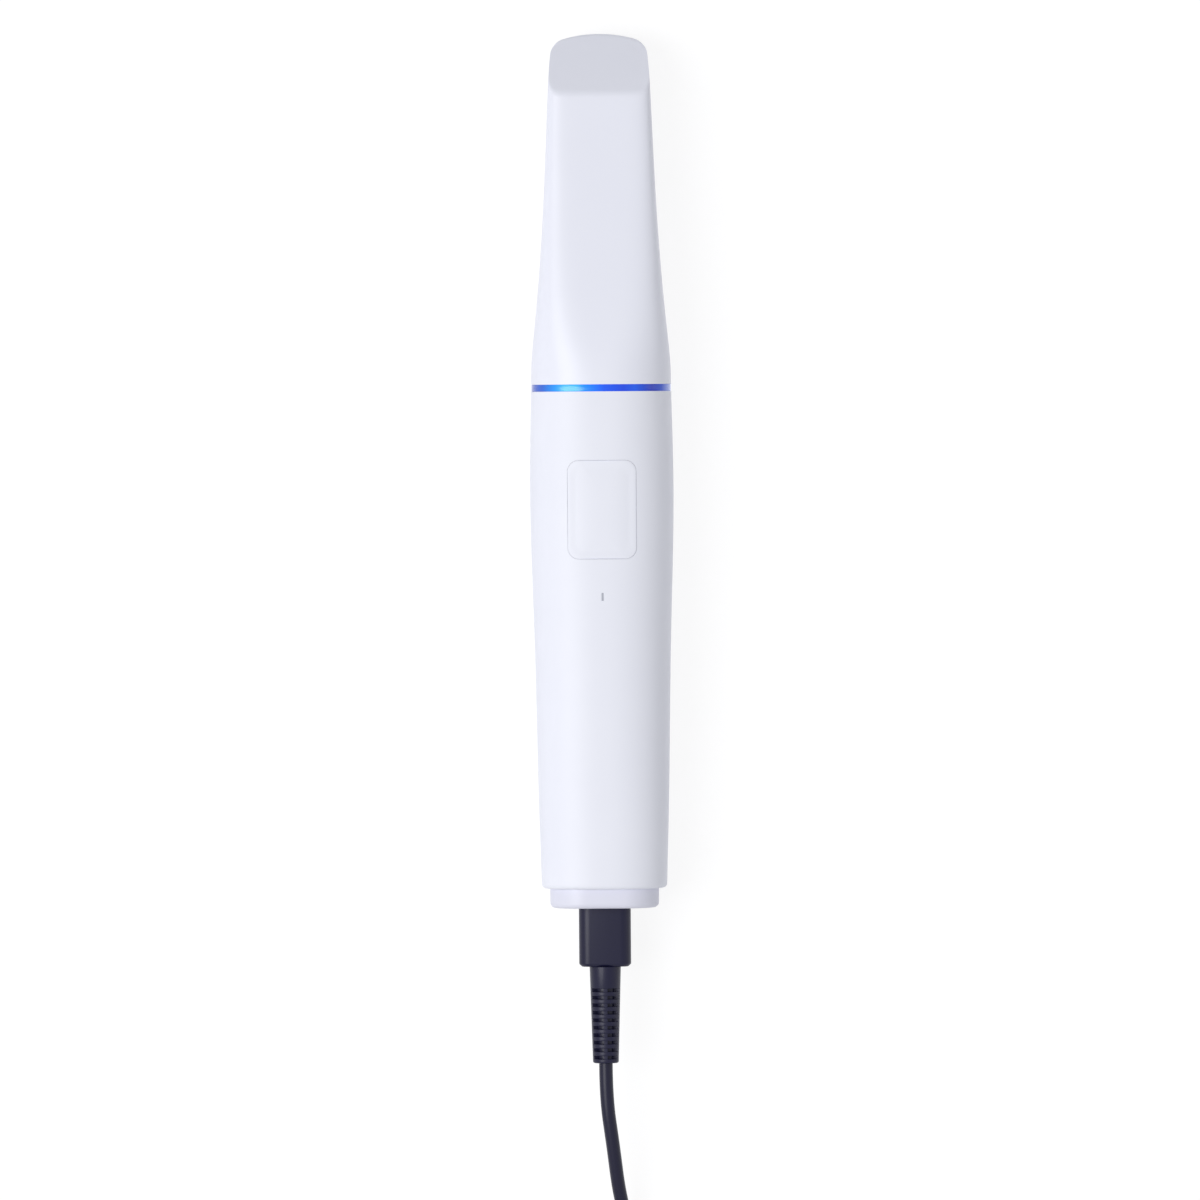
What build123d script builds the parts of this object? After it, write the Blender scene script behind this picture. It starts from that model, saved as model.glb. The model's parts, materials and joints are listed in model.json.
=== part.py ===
from build123d import *
from math import copysign, cos, pi, radians, sin, sqrt, tan
import os

os.makedirs("parts", exist_ok=True)

# An intraoral scanner with its slide-on tip and its USB lead, lying on its belly.
# X runs across, Y from the tail to the nose of the tip, Z up through the back with the button.
# The origin is under the middle of the scanner, on the surface it lies on. Lengths are in mm.

# Housing: two covers that meet a little under the widest line
body_length = 127.0
body_width = 36.7
body_height = 34.2
waist_height = 16.0
cover_wall = 2.0
tail_round = 1.0
seam_drop = 1.5
lip_wall = 0.9
lip_height = 1.8
fit_gap = 0.15
body_power = 2.7

# Sections from the light ring to the tail: place, width, height of the back, height of the belly
body_shares = (
    (0.00, 0.976, 0.977, 0.026),
    (0.20, 1.000, 1.000, -0.010),
    (0.50, 0.951, 0.988, -0.014),
    (0.80, 0.911, 0.942, -0.006),
    (1.00, 0.872, 0.895, 0.041),
)

# Tip sleeve: ends in a slanted facet that carries the mirror, over an open window
tip_length = 89.8
nose_width = 24.8
tip_depth = 18.0
window_height = 8.2
tip_wall = 1.6
tip_power = 3.4
facet_length = 15.6
facet_angle = 45.0
nose_radius = 30.0
nose_corner = 2.6
facet_round = 0.8

# Sections from the ring to the nose: place, and how much of the ring's width, back and belly is left
tip_shares = (
    (0.00, 1.000, 1.000, 1.000),
    (0.05, 0.982, 0.990, 0.985),
    (0.15, 0.840, 0.910, 0.900),
    (0.26, 0.663, 0.770, 0.745),
    (0.41, 0.471, 0.560, 0.520),
    (0.60, 0.295, 0.330, 0.260),
    (0.82, 0.140, 0.120, 0.030),
    (1.00, 0.000, 0.000, 0.000),
)

# Scan window and mirror
window_width = 16.6
window_length = 14.6
window_setback = 3.2
window_corner = 3.4
rim_width = 1.7
rim_height = 0.4
mirror_width = 19.6
mirror_length = 18.4
mirror_thickness = 1.0
mirror_corner = 2.6

# Light ring
ring_thickness = 1.8
ring_band = 3.0

# Optical nose: flange between the covers, barrel inside the sleeve
flange_thickness = 7.0
barrel_length = 22.0
sleeve_gap = 0.25
socket_reserve = 1.0
bore_width = 21.0
bore_height = 12.4
bore_corner = 3.0
optical_height = 17.0
glass_thickness = 1.5
glass_overlap = 0.8
seal_width = 1.6
seal_place = 7.0
seal_depth = 1.0
seal_gap = 0.06
strip_thickness = 0.8
strip_gap = 0.05
led_width = 2.0
led_height = 0.6
led_gap = 0.15
led_count = 12

# Optics behind the nose
chassis_width = 23.0
chassis_length = 44.0
chassis_plate = 2.0
chassis_base = 5.2
chassis_rise = 22.0
chassis_screw_spread = 5.0
chassis_screw_inset = 2.0
projector_width = 10.0
projector_length = 29.0
projector_height = 14.8
projector_lens_diameter = 7.0
camera_width = 5.0
camera_length = 18.0
camera_height = 13.8
camera_offset = 7.6
camera_lens_diameter = 4.6
module_gap = 2.4
lens_rim = 0.7
lens_dish = 0.8
lens_setback = 3.0

# Scan button and its switch
button_width = 17.4
button_length = 25.0
button_corner = 2.8
button_place = 30.1
button_gap = 0.12
button_edge = 0.25
button_flange = 1.5
button_flange_thickness = 1.2
button_travel = 0.5
button_boss = 0.6
button_boss_diameter = 4.4
switch_width = 6.2
switch_height = 3.1
plunger_diameter = 3.2
plunger_gap = 0.06
plunger_depth = 1.6
plunger_travel_gap = 0.2
button_board_width = 13.0
button_board_thickness = 1.2
button_board_tail = 4.0
board_post_gap = 0.6
status_place = 52.3
status_width = 0.5
status_length = 2.0
status_gap = 0.05
status_flange = 0.8
status_led_height = 0.8

# Main board
board_width = 25.0
board_thickness = 1.6
board_height = 9.6
board_rear = 11.0
board_front = 54.0
processor_width = 13.0
processor_thickness = 1.6
processor_share = 0.42
memory_width = 11.0
memory_length = 7.0
memory_thickness = 1.2
memory_share = 0.20
spreader_width = 20.0
spreader_length = 34.0
spreader_thickness = 1.0
fin_height = 2.2
fin_thickness = 0.8
fin_count = 5
connector_width = 12.0
connector_length = 4.0
connector_height = 1.8
ribbon_width = 9.0
ribbon_thickness = 0.3
ribbon_rise = 3.0
board_inset = 3.2

# Screws and the posts they go into
screw_diameter = 2.0
screw_head = 3.8
screw_head_height = 1.2
screw_length = 6.0
screw_gap = 0.05
drive_size = 1.3
drive_depth = 0.7
post_diameter = 4.4
housing_screw_spread = 8.8
housing_screw_sink = 0.5
tower_height = 2.0
tail_screw_place = 8.0
small_screw_length = 4.4

# Tail cap and the socket in it
cap_length = 5.0
cap_width = 27.8
cap_height = 24.0
cap_corner = 9.0
cap_round = 1.3
spigot_width = 21.0
spigot_height = 14.0
spigot_corner = 4.0
spigot_extra = 0.5
port_height = 16.0
socket_gap = 0.1
socket_width = 9.3
socket_height = 3.5
socket_length = 8.6
socket_wall_thickness = 0.3
tongue_width = 6.6
tongue_thickness = 0.7
tongue_length = 5.2
usb_board_width = 12.6
usb_board_length = 15.0
usb_board_thickness = 1.2

# Cable plug in the tail
plug_width = 13.3
plug_height = 8.0
plug_length = 15.2
plug_corner = 2.8
plug_chamfer = 0.6
plug_sink = 3.0
plug_gap = 0.2
shell_gap = 0.1
shell_reach = 6.4
shell_wall = 0.3

# Strain relief
relief_length = 24.8
relief_diameter = 8.0
relief_end_diameter = 6.6
collar_length = 5.6
rib_count = 10
rib_share = 0.55
rib_depth = 1.3
spine_width = 1.1
relief_round = 0.5

# Cable
cable_diameter = 3.5
arc_share = 0.45
coil_radius = 21.0
coil_columns = 3
coil_rows = 4
tie_thickness = 0.8
tie_width = 9.0
tie_gap = 0.15
coil_corner = 1.6

# USB plug on the far end
far_width = 15.8
far_height = 8.0
far_length = 21.0
far_corner = 2.2
far_edge = 1.0
far_shell_width = 12.0
far_shell_height = 4.5
far_shell_length = 12.0
far_shell_wall = 0.4
far_window = 2.4
far_window_spread = 5.8
far_window_setback = 5.2
far_insert_thickness = 1.8
far_relief_length = 9.0
far_relief_diameter = 5.6
far_relief_taper = 0.8

# One overrun for all cuts, and the number of points in a housing section
overrun = 2.0
section_steps = 24

# Places along the scanner
overall_length = cap_length + body_length + ring_thickness + tip_length
nose_end = overall_length / 2
tail_end = -overall_length / 2
body_rear = tail_end + cap_length
body_front = body_rear + body_length
ring_front = body_front + ring_thickness
barrel_front = ring_front + barrel_length
flange_rear = body_front - flange_thickness
barrel_inset = ring_band + fit_gap
socket_inset = barrel_inset - sleeve_gap
ring_width = body_width * body_shares[0][1]
ring_back = body_height * body_shares[0][2]
ring_belly = body_height * body_shares[0][3]
seam_height = waist_height - seam_drop


def blend(near, far, share):
    return near + (far - near) * share


# Closed section: rounded like a superellipse, with its own height over and under the widest line
def section_face(place, half_width, back, waist, belly, power):
    points = []
    for step in range(section_steps):
        turn = 2 * pi * step / section_steps
        side = cos(turn)
        rise = sin(turn)
        reach = back - waist if rise > 0 else waist - belly
        sideways = copysign(abs(side) ** (2 / power), side) * half_width
        upward = waist + copysign(abs(rise) ** (2 / power), rise) * reach
        points.append((sideways, upward))
    with BuildSketch(Plane.XZ.offset(-place)) as face:
        with BuildLine():
            Spline(*points, periodic=True)
        make_face()
    return face.sketch


# Section of the body, with its walls drawn in by the inset
def body_section(row, inset):
    place, width, back, belly = row
    return section_face(
        body_front - place * (body_length - inset),
        body_width * width / 2 - inset,
        body_height * back - inset,
        waist_height,
        body_height * belly + inset,
        body_power,
    )


# Section of the tip, which goes over from the ring's section to the nose's
def tip_section(row, inset):
    place, width, back, belly = row
    return section_face(
        ring_front + place * tip_length,
        blend(nose_width, ring_width, width) / 2 - inset,
        blend(window_height + tip_depth, ring_back, back) - inset,
        blend(window_height + tip_depth / 2, waist_height, width),
        blend(window_height, ring_belly, belly) + inset,
        blend(tip_power, body_power, width),
    )


# The whole body as a solid, the inset being how far its skin lies under the outer one
def body_form(inset):
    with BuildPart() as form:
        loft(sections=[body_section(row, inset) for row in body_shares])
        split(bisect_by=Plane.XY, keep=Keep.TOP)
    return form.part


# What lies between two places along the scanner
def slab(rear, front):
    with BuildPart() as block:
        with BuildSketch(Plane.XZ.offset(-front)):
            Rectangle(body_width * 2, body_height * 4)
        extrude(amount=front - rear)
    return block.part


# The whole tip as a solid: lofted, cut by the facet and trimmed to the bowed nose
def tip_form(inset):
    slope = radians(facet_angle)
    facet_start = nose_end - facet_length
    back_row = tip_shares[-2]
    facet_share = (facet_start - ring_front) / tip_length
    back_share = back_row[2] * (1 - facet_share) / (1 - back_row[0])
    facet_back = blend(window_height + tip_depth, ring_back, back_share)
    facet = Plane(origin=(0, facet_start, facet_back), z_dir=(0, sin(slope), cos(slope)))
    nose = nose_end - inset
    bow = nose_radius - inset
    half = nose_width / 2 - inset
    drop = bow - sqrt(bow * bow - half * half)
    taper = (ring_width - nose_width) / 2 * back_row[1] / (1 - back_row[0]) / tip_length
    rear_half = half + taper * facet_length + fit_gap
    with BuildPart() as form:
        loft(sections=[tip_section(row, inset) for row in tip_shares])
        split(bisect_by=facet.offset(-inset), keep=Keep.BOTTOM)
        with BuildSketch(mode=Mode.PRIVATE) as plan:
            with BuildLine():
                right_side = Line((rear_half, facet_start), (half + fit_gap, nose - drop))
                bow_line = ThreePointArc(right_side @ 1, (0, nose), (-half - fit_gap, nose - drop))
                left_side = Line(bow_line @ 1, (-rear_half, facet_start))
                Polyline(
                    left_side @ 1,
                    (-body_width, facet_start),
                    (-body_width, body_rear),
                    (body_width, body_rear),
                    (body_width, facet_start),
                    right_side @ 0,
                )
            make_face()
            fillet(plan.vertices().group_by(Axis.Y)[-1], nose_corner - inset / 2)
        extrude(plan.sketch, amount=body_height * 2, mode=Mode.INTERSECT)
    return form.part


# Height of the belly's outer face at a place on it
def belly_at(side, along):
    share = (body_front - along) / body_length
    before = [row for row in body_shares if row[0] <= share][-1]
    after = [row for row in body_shares if row[0] > share][0]
    part_way = (share - before[0]) / (after[0] - before[0])
    half_width = body_width * blend(before[1], after[1], part_way) / 2
    belly = body_height * blend(before[3], after[3], part_way)
    depth = (1 - (abs(side) / half_width) ** body_power) ** (1 / body_power)
    return waist_height - (waist_height - belly) * depth


body_outer = body_form(0)
body_inner = body_form(cover_wall)
wall_middle = body_form(cover_wall / 2)
tip_outer = tip_form(0)
tip_inner = tip_form(tip_wall)
tip_socket = tip_form(socket_inset)
barrel_form = tip_form(barrel_inset)


# A plane across the scanner at a place along it; its normal points to the tail
def across(place):
    return Plane.XZ.offset(-place)


# A round bar along Z, placed by its centre
def round_bar(side, along, bottom, top, diameter):
    with BuildPart() as bar:
        with BuildSketch(Plane.XY.offset(bottom)):
            with Locations((side, along)):
                Circle(diameter / 2)
        extrude(amount=top - bottom)
    return bar.part


# A round post that ends inside the wall of the body
def wall_post(side, along, bottom, top, diameter):
    with BuildPart() as post:
        add(round_bar(side, along, bottom, top, diameter))
        add(wall_middle, mode=Mode.INTERSECT)
    return post.part


# A rounded block along Y between two places, centred at a height
def rounded_bar(rear, front, side, height, wide, tall, corner):
    with BuildPart() as bar:
        with BuildSketch(across(front)):
            with Locations((side, height)):
                RectangleRounded(wide, tall, corner)
        extrude(amount=front - rear)
    return bar.part


# A plain block from its middle and lower face
def block(side, along, bottom, wide, long, tall):
    with BuildPart() as body:
        with BuildSketch(Plane.XY.offset(bottom)):
            with Locations((side, along)):
                Rectangle(wide, long)
        extrude(amount=tall)
    return body.part


# Pan-head screws with a hex socket, from their seats and the way the shank points
def screw_set(seats, shank_length):
    with BuildPart() as screws:
        for seat in seats:
            head = Plane(origin=seat.origin, z_dir=-seat.z_dir)
            with BuildSketch(seat):
                Circle(screw_diameter / 2)
            extrude(amount=shank_length)
            with BuildSketch(head):
                Circle(screw_head / 2)
            extrude(amount=screw_head_height)
            with BuildSketch(head.offset(screw_head_height - drive_depth)):
                RegularPolygon(drive_size / 2, 6)
            extrude(amount=drive_depth + overrun, mode=Mode.SUBTRACT)
    return screws.part


# Seats of the four housing screws: the front pair bites the flange, the tail pair the back cover
strip_rear = body_front - led_gap - led_height - strip_thickness
front_screw_along = (flange_rear + strip_rear) / 2
tail_screw_along = body_rear + tail_screw_place
housing_seats = []
for along in (front_screw_along, tail_screw_along):
    for side in (-housing_screw_spread, housing_screw_spread):
        seat = belly_at(side, along) + housing_screw_sink + screw_head_height
        housing_seats.append(Plane(origin=(side, along, seat), z_dir=(0, 0, 1)))

# Opening in the tail wall that the cap's spigot fills
spigot_opening = rounded_bar(
    body_rear - overrun,
    body_rear + cover_wall + overrun,
    0,
    port_height,
    spigot_width + 2 * fit_gap,
    spigot_height + 2 * fit_gap,
    spigot_corner + fit_gap,
)

# The two covers' outer form with its rounded tail, and the forms of the lip between them
with BuildPart() as housing:
    add(body_outer)
    fillet(housing.faces().sort_by(Axis.Y)[0].edges(), tail_round)

with BuildPart() as rebate:
    add(body_form(lip_wall))
    split(bisect_by=Plane.XY.offset(seam_height + lip_height), keep=Keep.BOTTOM)

with BuildPart() as tongue:
    add(body_form(lip_wall + fit_gap))
    split(bisect_by=Plane.XY.offset(seam_height + lip_height - fit_gap), keep=Keep.BOTTOM)
    split(bisect_by=Plane.XY.offset(seam_height - lip_height), keep=Keep.TOP)

# Button and status places, and the stack of the button board under them
button_along = body_front - button_place
button_front = button_along + button_length / 2 + button_flange
button_rear = button_along - button_length / 2 - button_flange
status_along = body_front - status_place
button_inset = cover_wall + fit_gap + button_flange_thickness
button_form = body_form(button_inset)
plunger_top = body_height - button_inset - button_boss
switch_top = plunger_top - button_travel - plunger_travel_gap
button_board_top = switch_top - switch_height
button_board_under = button_board_top - button_board_thickness
board_posts = (
    button_front + board_post_gap + post_diameter / 2,
    button_rear - board_post_gap - post_diameter / 2,
)

# Back cover
with BuildPart() as back_cover:
    add(housing.part)
    split(bisect_by=Plane.XY.offset(seam_height), keep=Keep.TOP)
    add(rebate.part, mode=Mode.SUBTRACT)
    add(body_inner, mode=Mode.SUBTRACT)
    for along in board_posts:
        add(wall_post(0, along, button_board_top, body_height, post_diameter))
        add(
            round_bar(
                0,
                along,
                button_board_top - overrun,
                button_board_under + small_screw_length + screw_gap,
                screw_diameter + 2 * screw_gap,
            ),
            mode=Mode.SUBTRACT,
        )
    for seat in housing_seats[2:]:
        tower_top = seat.origin.Z + tower_height
        side = seat.origin.X
        along = seat.origin.Y
        add(wall_post(side, along, tower_top, body_height, post_diameter))
        add(
            round_bar(
                side,
                along,
                tower_top - overrun,
                seat.origin.Z + screw_length + screw_gap,
                screw_diameter + 2 * screw_gap,
            ),
            mode=Mode.SUBTRACT,
        )
    with BuildSketch(Plane.XY.offset(waist_height)):
        with Locations((0, button_along)):
            RectangleRounded(
                button_width + 2 * button_gap,
                button_length + 2 * button_gap,
                button_corner + button_gap,
            )
        with Locations((0, status_along)):
            Rectangle(status_width + 2 * status_gap, status_length + 2 * status_gap)
    extrude(amount=body_height, mode=Mode.SUBTRACT)
    add(spigot_opening, mode=Mode.SUBTRACT)
back_cover.part.label = "back_cover"
export_step(back_cover.part, "parts/back_cover.step")

# Belly cover, with the screw towers and the posts of the main board
main_board_rear = body_rear + board_rear
main_board_front = body_front - board_front
board_middle = (main_board_rear + main_board_front) / 2
board_long = main_board_front - main_board_rear
board_top = board_height + board_thickness
board_seats = []
for along in (main_board_rear + board_inset, main_board_front - board_inset):
    for side in (board_inset - board_width / 2, board_width / 2 - board_inset):
        board_seats.append(Plane(origin=(side, along, board_top), z_dir=(0, 0, -1)))

with BuildPart() as belly_cover:
    add(housing.part)
    split(bisect_by=Plane.XY.offset(seam_height), keep=Keep.BOTTOM)
    add(tongue.part)
    add(body_inner, mode=Mode.SUBTRACT)
    for seat in housing_seats:
        side = seat.origin.X
        along = seat.origin.Y
        add(wall_post(side, along, 0, seat.origin.Z + tower_height, post_diameter))
        add(round_bar(side, along, -overrun, seat.origin.Z, screw_head + 2 * screw_gap), mode=Mode.SUBTRACT)
        add(round_bar(side, along, 0, waist_height, screw_diameter + 2 * screw_gap), mode=Mode.SUBTRACT)
    for seat in board_seats:
        side = seat.origin.X
        along = seat.origin.Y
        add(wall_post(side, along, 0, board_height, post_diameter))
        add(
            round_bar(
                side,
                along,
                board_top - small_screw_length - screw_gap,
                board_top,
                screw_diameter + 2 * screw_gap,
            ),
            mode=Mode.SUBTRACT,
        )
    add(spigot_opening, mode=Mode.SUBTRACT)
belly_cover.part.label = "belly_cover"
export_step(belly_cover.part, "parts/belly_cover.step")

housing_screws = screw_set(housing_seats, screw_length)
housing_screws.label = "housing_screws"
export_step(housing_screws, "parts/housing_screws.step")

# Scan button: it follows the back, and a flange under the cover keeps it in
with BuildPart() as scan_button:
    with BuildSketch(Plane.XY.offset(waist_height)):
        with Locations((0, button_along)):
            RectangleRounded(button_width, button_length, button_corner)
    extrude(amount=body_height)
    add(body_outer, mode=Mode.INTERSECT)
    fillet(scan_button.faces().sort_by(Axis.Z)[-1].edges(), button_edge)
    with BuildSketch(Plane.XY.offset(waist_height)):
        with Locations((0, button_along)):
            RectangleRounded(
                button_width + 2 * button_flange,
                button_length + 2 * button_flange,
                button_corner + button_flange,
            )
    extrude(until=Until.LAST, target=body_form(cover_wall + fit_gap))
    add(button_form, mode=Mode.SUBTRACT)
    add(round_bar(0, button_along, plunger_top, body_height - cover_wall, button_boss_diameter))
scan_button.part.label = "scan_button"
export_step(scan_button.part, "parts/scan_button.step")

# Tip sleeve: thick round the optical nose, thinner ahead of it, open at the rear and at the window
window_front = nose_end - window_setback
window_along = window_front - window_length / 2
socket_end = barrel_front + socket_reserve
with BuildPart() as cavity:
    add(tip_inner)
    add(slab(socket_end, nose_end), mode=Mode.INTERSECT)

with BuildPart() as socket:
    add(tip_socket)
    add(slab(ring_front - overrun, socket_end), mode=Mode.INTERSECT)

with BuildPart() as tip_sleeve:
    add(tip_outer)
    fillet(tip_sleeve.faces().filter_by(GeomType.PLANE).sort_by(Axis.Z)[-1].edges(), facet_round)
    with BuildSketch(Plane.XY.offset(window_height - rim_height)):
        with Locations((0, window_along)):
            RectangleRounded(
                window_width + 2 * rim_width,
                window_length + 2 * rim_width,
                window_corner + rim_width,
            )
    extrude(amount=tip_wall + rim_height)
    add(cavity.part, mode=Mode.SUBTRACT)
    add(socket.part, mode=Mode.SUBTRACT)
    with BuildSketch(Plane.XY):
        with Locations((0, window_along)):
            RectangleRounded(window_width, window_length, window_corner)
    extrude(amount=window_height + tip_wall + overrun, mode=Mode.SUBTRACT)
tip_sleeve.part.label = "tip_sleeve"
export_step(tip_sleeve.part, "parts/tip_sleeve.step")

# Mirror, glued to the inside of the facet
slope = radians(facet_angle)
mirror_seat = tip_inner.faces().filter_by(GeomType.PLANE).sort_by(Axis.Z)[-1]
mirror_plane = Plane(origin=mirror_seat.center(), x_dir=(1, 0, 0), z_dir=(0, -sin(slope), -cos(slope)))
with BuildPart() as tip_mirror:
    with BuildSketch(mirror_plane):
        RectangleRounded(mirror_width, mirror_length, mirror_corner)
    extrude(amount=mirror_thickness)
    add(tip_inner, mode=Mode.INTERSECT)
tip_mirror.part.label = "tip_mirror"
export_step(tip_mirror.part, "parts/tip_mirror.step")


# Band between two insets of the ring's section, from one place to another
def ring_band_part(rear, front, outer_inset, inner_inset):
    with BuildPart() as band:
        with BuildSketch(across(front)):
            add(body_section_at_ring(outer_inset, front))
            add(body_section_at_ring(inner_inset, front), mode=Mode.SUBTRACT)
        extrude(amount=front - rear)
    return band.part


def body_section_at_ring(inset, place):
    return section_face(
        place,
        ring_width / 2 - inset,
        ring_back - inset,
        waist_height,
        ring_belly + inset,
        body_power,
    )


# Light ring between the covers and the sleeve
light_ring = ring_band_part(body_front, ring_front, 0, ring_band)
light_ring.label = "light_ring"
export_step(light_ring, "parts/light_ring.step")

# Strip of light-emitting diodes behind the ring, in a step of the flange
strip_front = strip_rear + strip_thickness
strip_outer = cover_wall + fit_gap + strip_gap
strip_inner = barrel_inset - strip_gap
led_strip = ring_band_part(strip_rear, strip_front, strip_outer, strip_inner)
led_strip.label = "led_strip"
export_step(led_strip, "parts/led_strip.step")

with BuildPart() as ring_leds:
    with BuildSketch(across(strip_front + led_height)):
        with Locations((0, waist_height)):
            with PolarLocations(0, led_count, start_angle=180 / led_count):
                Rectangle(body_width * 2, led_width, align=(Align.MIN, Align.CENTER))
    extrude(amount=led_height)
    led_front = strip_front + led_height
    add(
        ring_band_part(strip_front, led_front, strip_outer + strip_gap, strip_inner - strip_gap),
        mode=Mode.INTERSECT,
    )
ring_leds.part.label = "ring_leds"
export_step(ring_leds.part, "parts/ring_leds.step")

# Optical nose: flange held by the covers, neck through the ring, barrel inside the sleeve
seal_rear = ring_front + seal_place
seal_front = seal_rear + seal_width
seal_floor = barrel_inset + seal_depth
glass_rear = barrel_front - glass_thickness
glass_width = bore_width + 2 * glass_overlap
chassis_screw_heights = (
    chassis_base + chassis_plate + screw_head / 2 + screw_gap,
    chassis_base + chassis_rise - chassis_screw_inset,
)
glass_height = bore_height + 2 * glass_overlap
seal_core = tip_form(seal_floor)
with BuildPart() as groove:
    add(slab(seal_rear, seal_front))
    add(seal_core, mode=Mode.SUBTRACT)

with BuildPart() as nose_barrel:
    add(barrel_form)
    add(slab(ring_front, barrel_front), mode=Mode.INTERSECT)
    add(ring_band_part(flange_rear, strip_rear, cover_wall + fit_gap, barrel_inset + overrun))
    with BuildSketch(across(ring_front)):
        add(body_section_at_ring(barrel_inset, ring_front))
    extrude(amount=ring_front - flange_rear)
    add(groove.part, mode=Mode.SUBTRACT)
    add(
        rounded_bar(
            flange_rear - overrun,
            barrel_front + overrun,
            0,
            optical_height,
            bore_width,
            bore_height,
            bore_corner,
        ),
        mode=Mode.SUBTRACT,
    )
    add(
        rounded_bar(
            glass_rear,
            barrel_front + overrun,
            0,
            optical_height,
            glass_width,
            glass_height,
            bore_corner + glass_overlap,
        ),
        mode=Mode.SUBTRACT,
    )
    for seat in housing_seats[:2]:
        side = seat.origin.X
        along = seat.origin.Y
        tower_top = seat.origin.Z + tower_height
        add(round_bar(side, along, 0, tower_top, post_diameter + 2 * fit_gap), mode=Mode.SUBTRACT)
        add(
            round_bar(
                side,
                along,
                0,
                seat.origin.Z + screw_length + screw_gap,
                screw_diameter + 2 * screw_gap,
            ),
            mode=Mode.SUBTRACT,
        )
    for seat_height in chassis_screw_heights:
        with BuildSketch(across(flange_rear)):
            with Locations((-chassis_screw_spread, seat_height), (chassis_screw_spread, seat_height)):
                Circle(screw_diameter / 2 + screw_gap)
        extrude(amount=-small_screw_length, mode=Mode.SUBTRACT)
nose_barrel.part.label = "nose_barrel"
export_step(nose_barrel.part, "parts/nose_barrel.step")

with BuildPart() as nose_seal:
    add(tip_form(socket_inset + seal_gap))
    add(seal_core, mode=Mode.SUBTRACT)
    add(slab(seal_rear, seal_front), mode=Mode.INTERSECT)
nose_seal.part.label = "nose_seal"
export_step(nose_seal.part, "parts/nose_seal.step")

nose_glass = rounded_bar(
    glass_rear,
    barrel_front,
    0,
    optical_height,
    glass_width - 2 * fit_gap,
    glass_height - 2 * fit_gap,
    bore_corner + glass_overlap - fit_gap,
)
nose_glass.label = "nose_glass"
export_step(nose_glass, "parts/nose_glass.step")

# Chassis: an angle bracket on the rear of the flange that carries the optics
with BuildPart() as optics_chassis:
    add(
        block(
            0,
            flange_rear - chassis_length / 2,
            chassis_base,
            chassis_width,
            chassis_length,
            chassis_plate,
        )
    )
    add(block(0, flange_rear - chassis_plate / 2, chassis_base, chassis_width, chassis_plate, chassis_rise))
    with BuildSketch(across(flange_rear)):
        with Locations((0, optical_height)):
            RectangleRounded(bore_width, bore_height, bore_corner)
        for seat_height in chassis_screw_heights:
            with Locations((-chassis_screw_spread, seat_height), (chassis_screw_spread, seat_height)):
                Circle(screw_diameter / 2 + screw_gap)
    extrude(amount=chassis_plate, mode=Mode.SUBTRACT)
optics_chassis.part.label = "optics_chassis"
export_step(optics_chassis.part, "parts/optics_chassis.step")

chassis_seats = []
for seat_height in chassis_screw_heights:
    for side in (-chassis_screw_spread, chassis_screw_spread):
        chassis_seats.append(Plane(origin=(side, flange_rear - chassis_plate, seat_height), z_dir=(0, 1, 0)))
chassis_screws = screw_set(chassis_seats, small_screw_length)
chassis_screws.label = "chassis_screws"
export_step(chassis_screws, "parts/chassis_screws.step")

# Projector between two cameras, each with its lens barrel looking into the sleeve
module_front = flange_rear - chassis_plate - module_gap
module_seat = chassis_base + chassis_plate
lens_front = glass_rear - lens_setback


def optics_module(side, wide, long, tall):
    with BuildPart() as module:
        add(block(side, module_front - long / 2, module_seat, wide, long, tall))
        chamfer(module.edges().filter_by(Axis.Y), lens_rim)
    return module.part


def lens_barrel(side, diameter):
    with BuildPart() as lens:
        with BuildSketch(across(lens_front)):
            with Locations((side, optical_height)):
                Circle(diameter / 2)
        extrude(amount=lens_front - module_front)
        with BuildSketch(across(lens_front)):
            with Locations((side, optical_height)):
                Circle(diameter / 2 - lens_rim)
        extrude(amount=lens_dish, mode=Mode.SUBTRACT)
    return lens.part


optics = (
    ("projector", 0, projector_width, projector_length, projector_height, projector_lens_diameter),
    ("camera_left", -camera_offset, camera_width, camera_length, camera_height, camera_lens_diameter),
    ("camera_right", camera_offset, camera_width, camera_length, camera_height, camera_lens_diameter),
)
for name, side, wide, long, tall, diameter in optics:
    module = optics_module(side, wide, long, tall)
    module.label = name
    export_step(module, f"parts/{name}.step")
    lens = lens_barrel(side, diameter)
    lens.label = f"{name}_lens"
    export_step(lens, f"parts/{name}_lens.step")

# Button board under the back cover, with the switch and the light of the status slit
button_board_front = board_posts[0] + post_diameter / 2
button_board_rear = status_along - button_board_tail
with BuildPart() as button_board:
    add(
        block(
            0,
            (button_board_front + button_board_rear) / 2,
            button_board_under,
            button_board_width,
            button_board_front - button_board_rear,
            button_board_thickness,
        )
    )
    fillet(button_board.edges().filter_by(Axis.Z), button_board_thickness)
    for along in board_posts:
        add(
            round_bar(0, along, button_board_under, button_board_top, screw_diameter + 2 * screw_gap),
            mode=Mode.SUBTRACT,
        )
button_board.part.label = "button_board"
export_step(button_board.part, "parts/button_board.step")

button_board_seats = [Plane(origin=(0, along, button_board_under), z_dir=(0, 0, 1)) for along in board_posts]
button_board_screws = screw_set(button_board_seats, small_screw_length)
button_board_screws.label = "button_board_screws"
export_step(button_board_screws, "parts/button_board_screws.step")

plunger_bottom = switch_top - plunger_depth
with BuildPart() as button_switch:
    add(block(0, button_along, button_board_top, switch_width, switch_width, switch_height))
    add(
        round_bar(
            0,
            button_along,
            plunger_bottom - button_travel - plunger_gap,
            switch_top,
            plunger_diameter + 2 * plunger_gap,
        ),
        mode=Mode.SUBTRACT,
    )
button_switch.part.label = "button_switch"
export_step(button_switch.part, "parts/button_switch.step")

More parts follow.
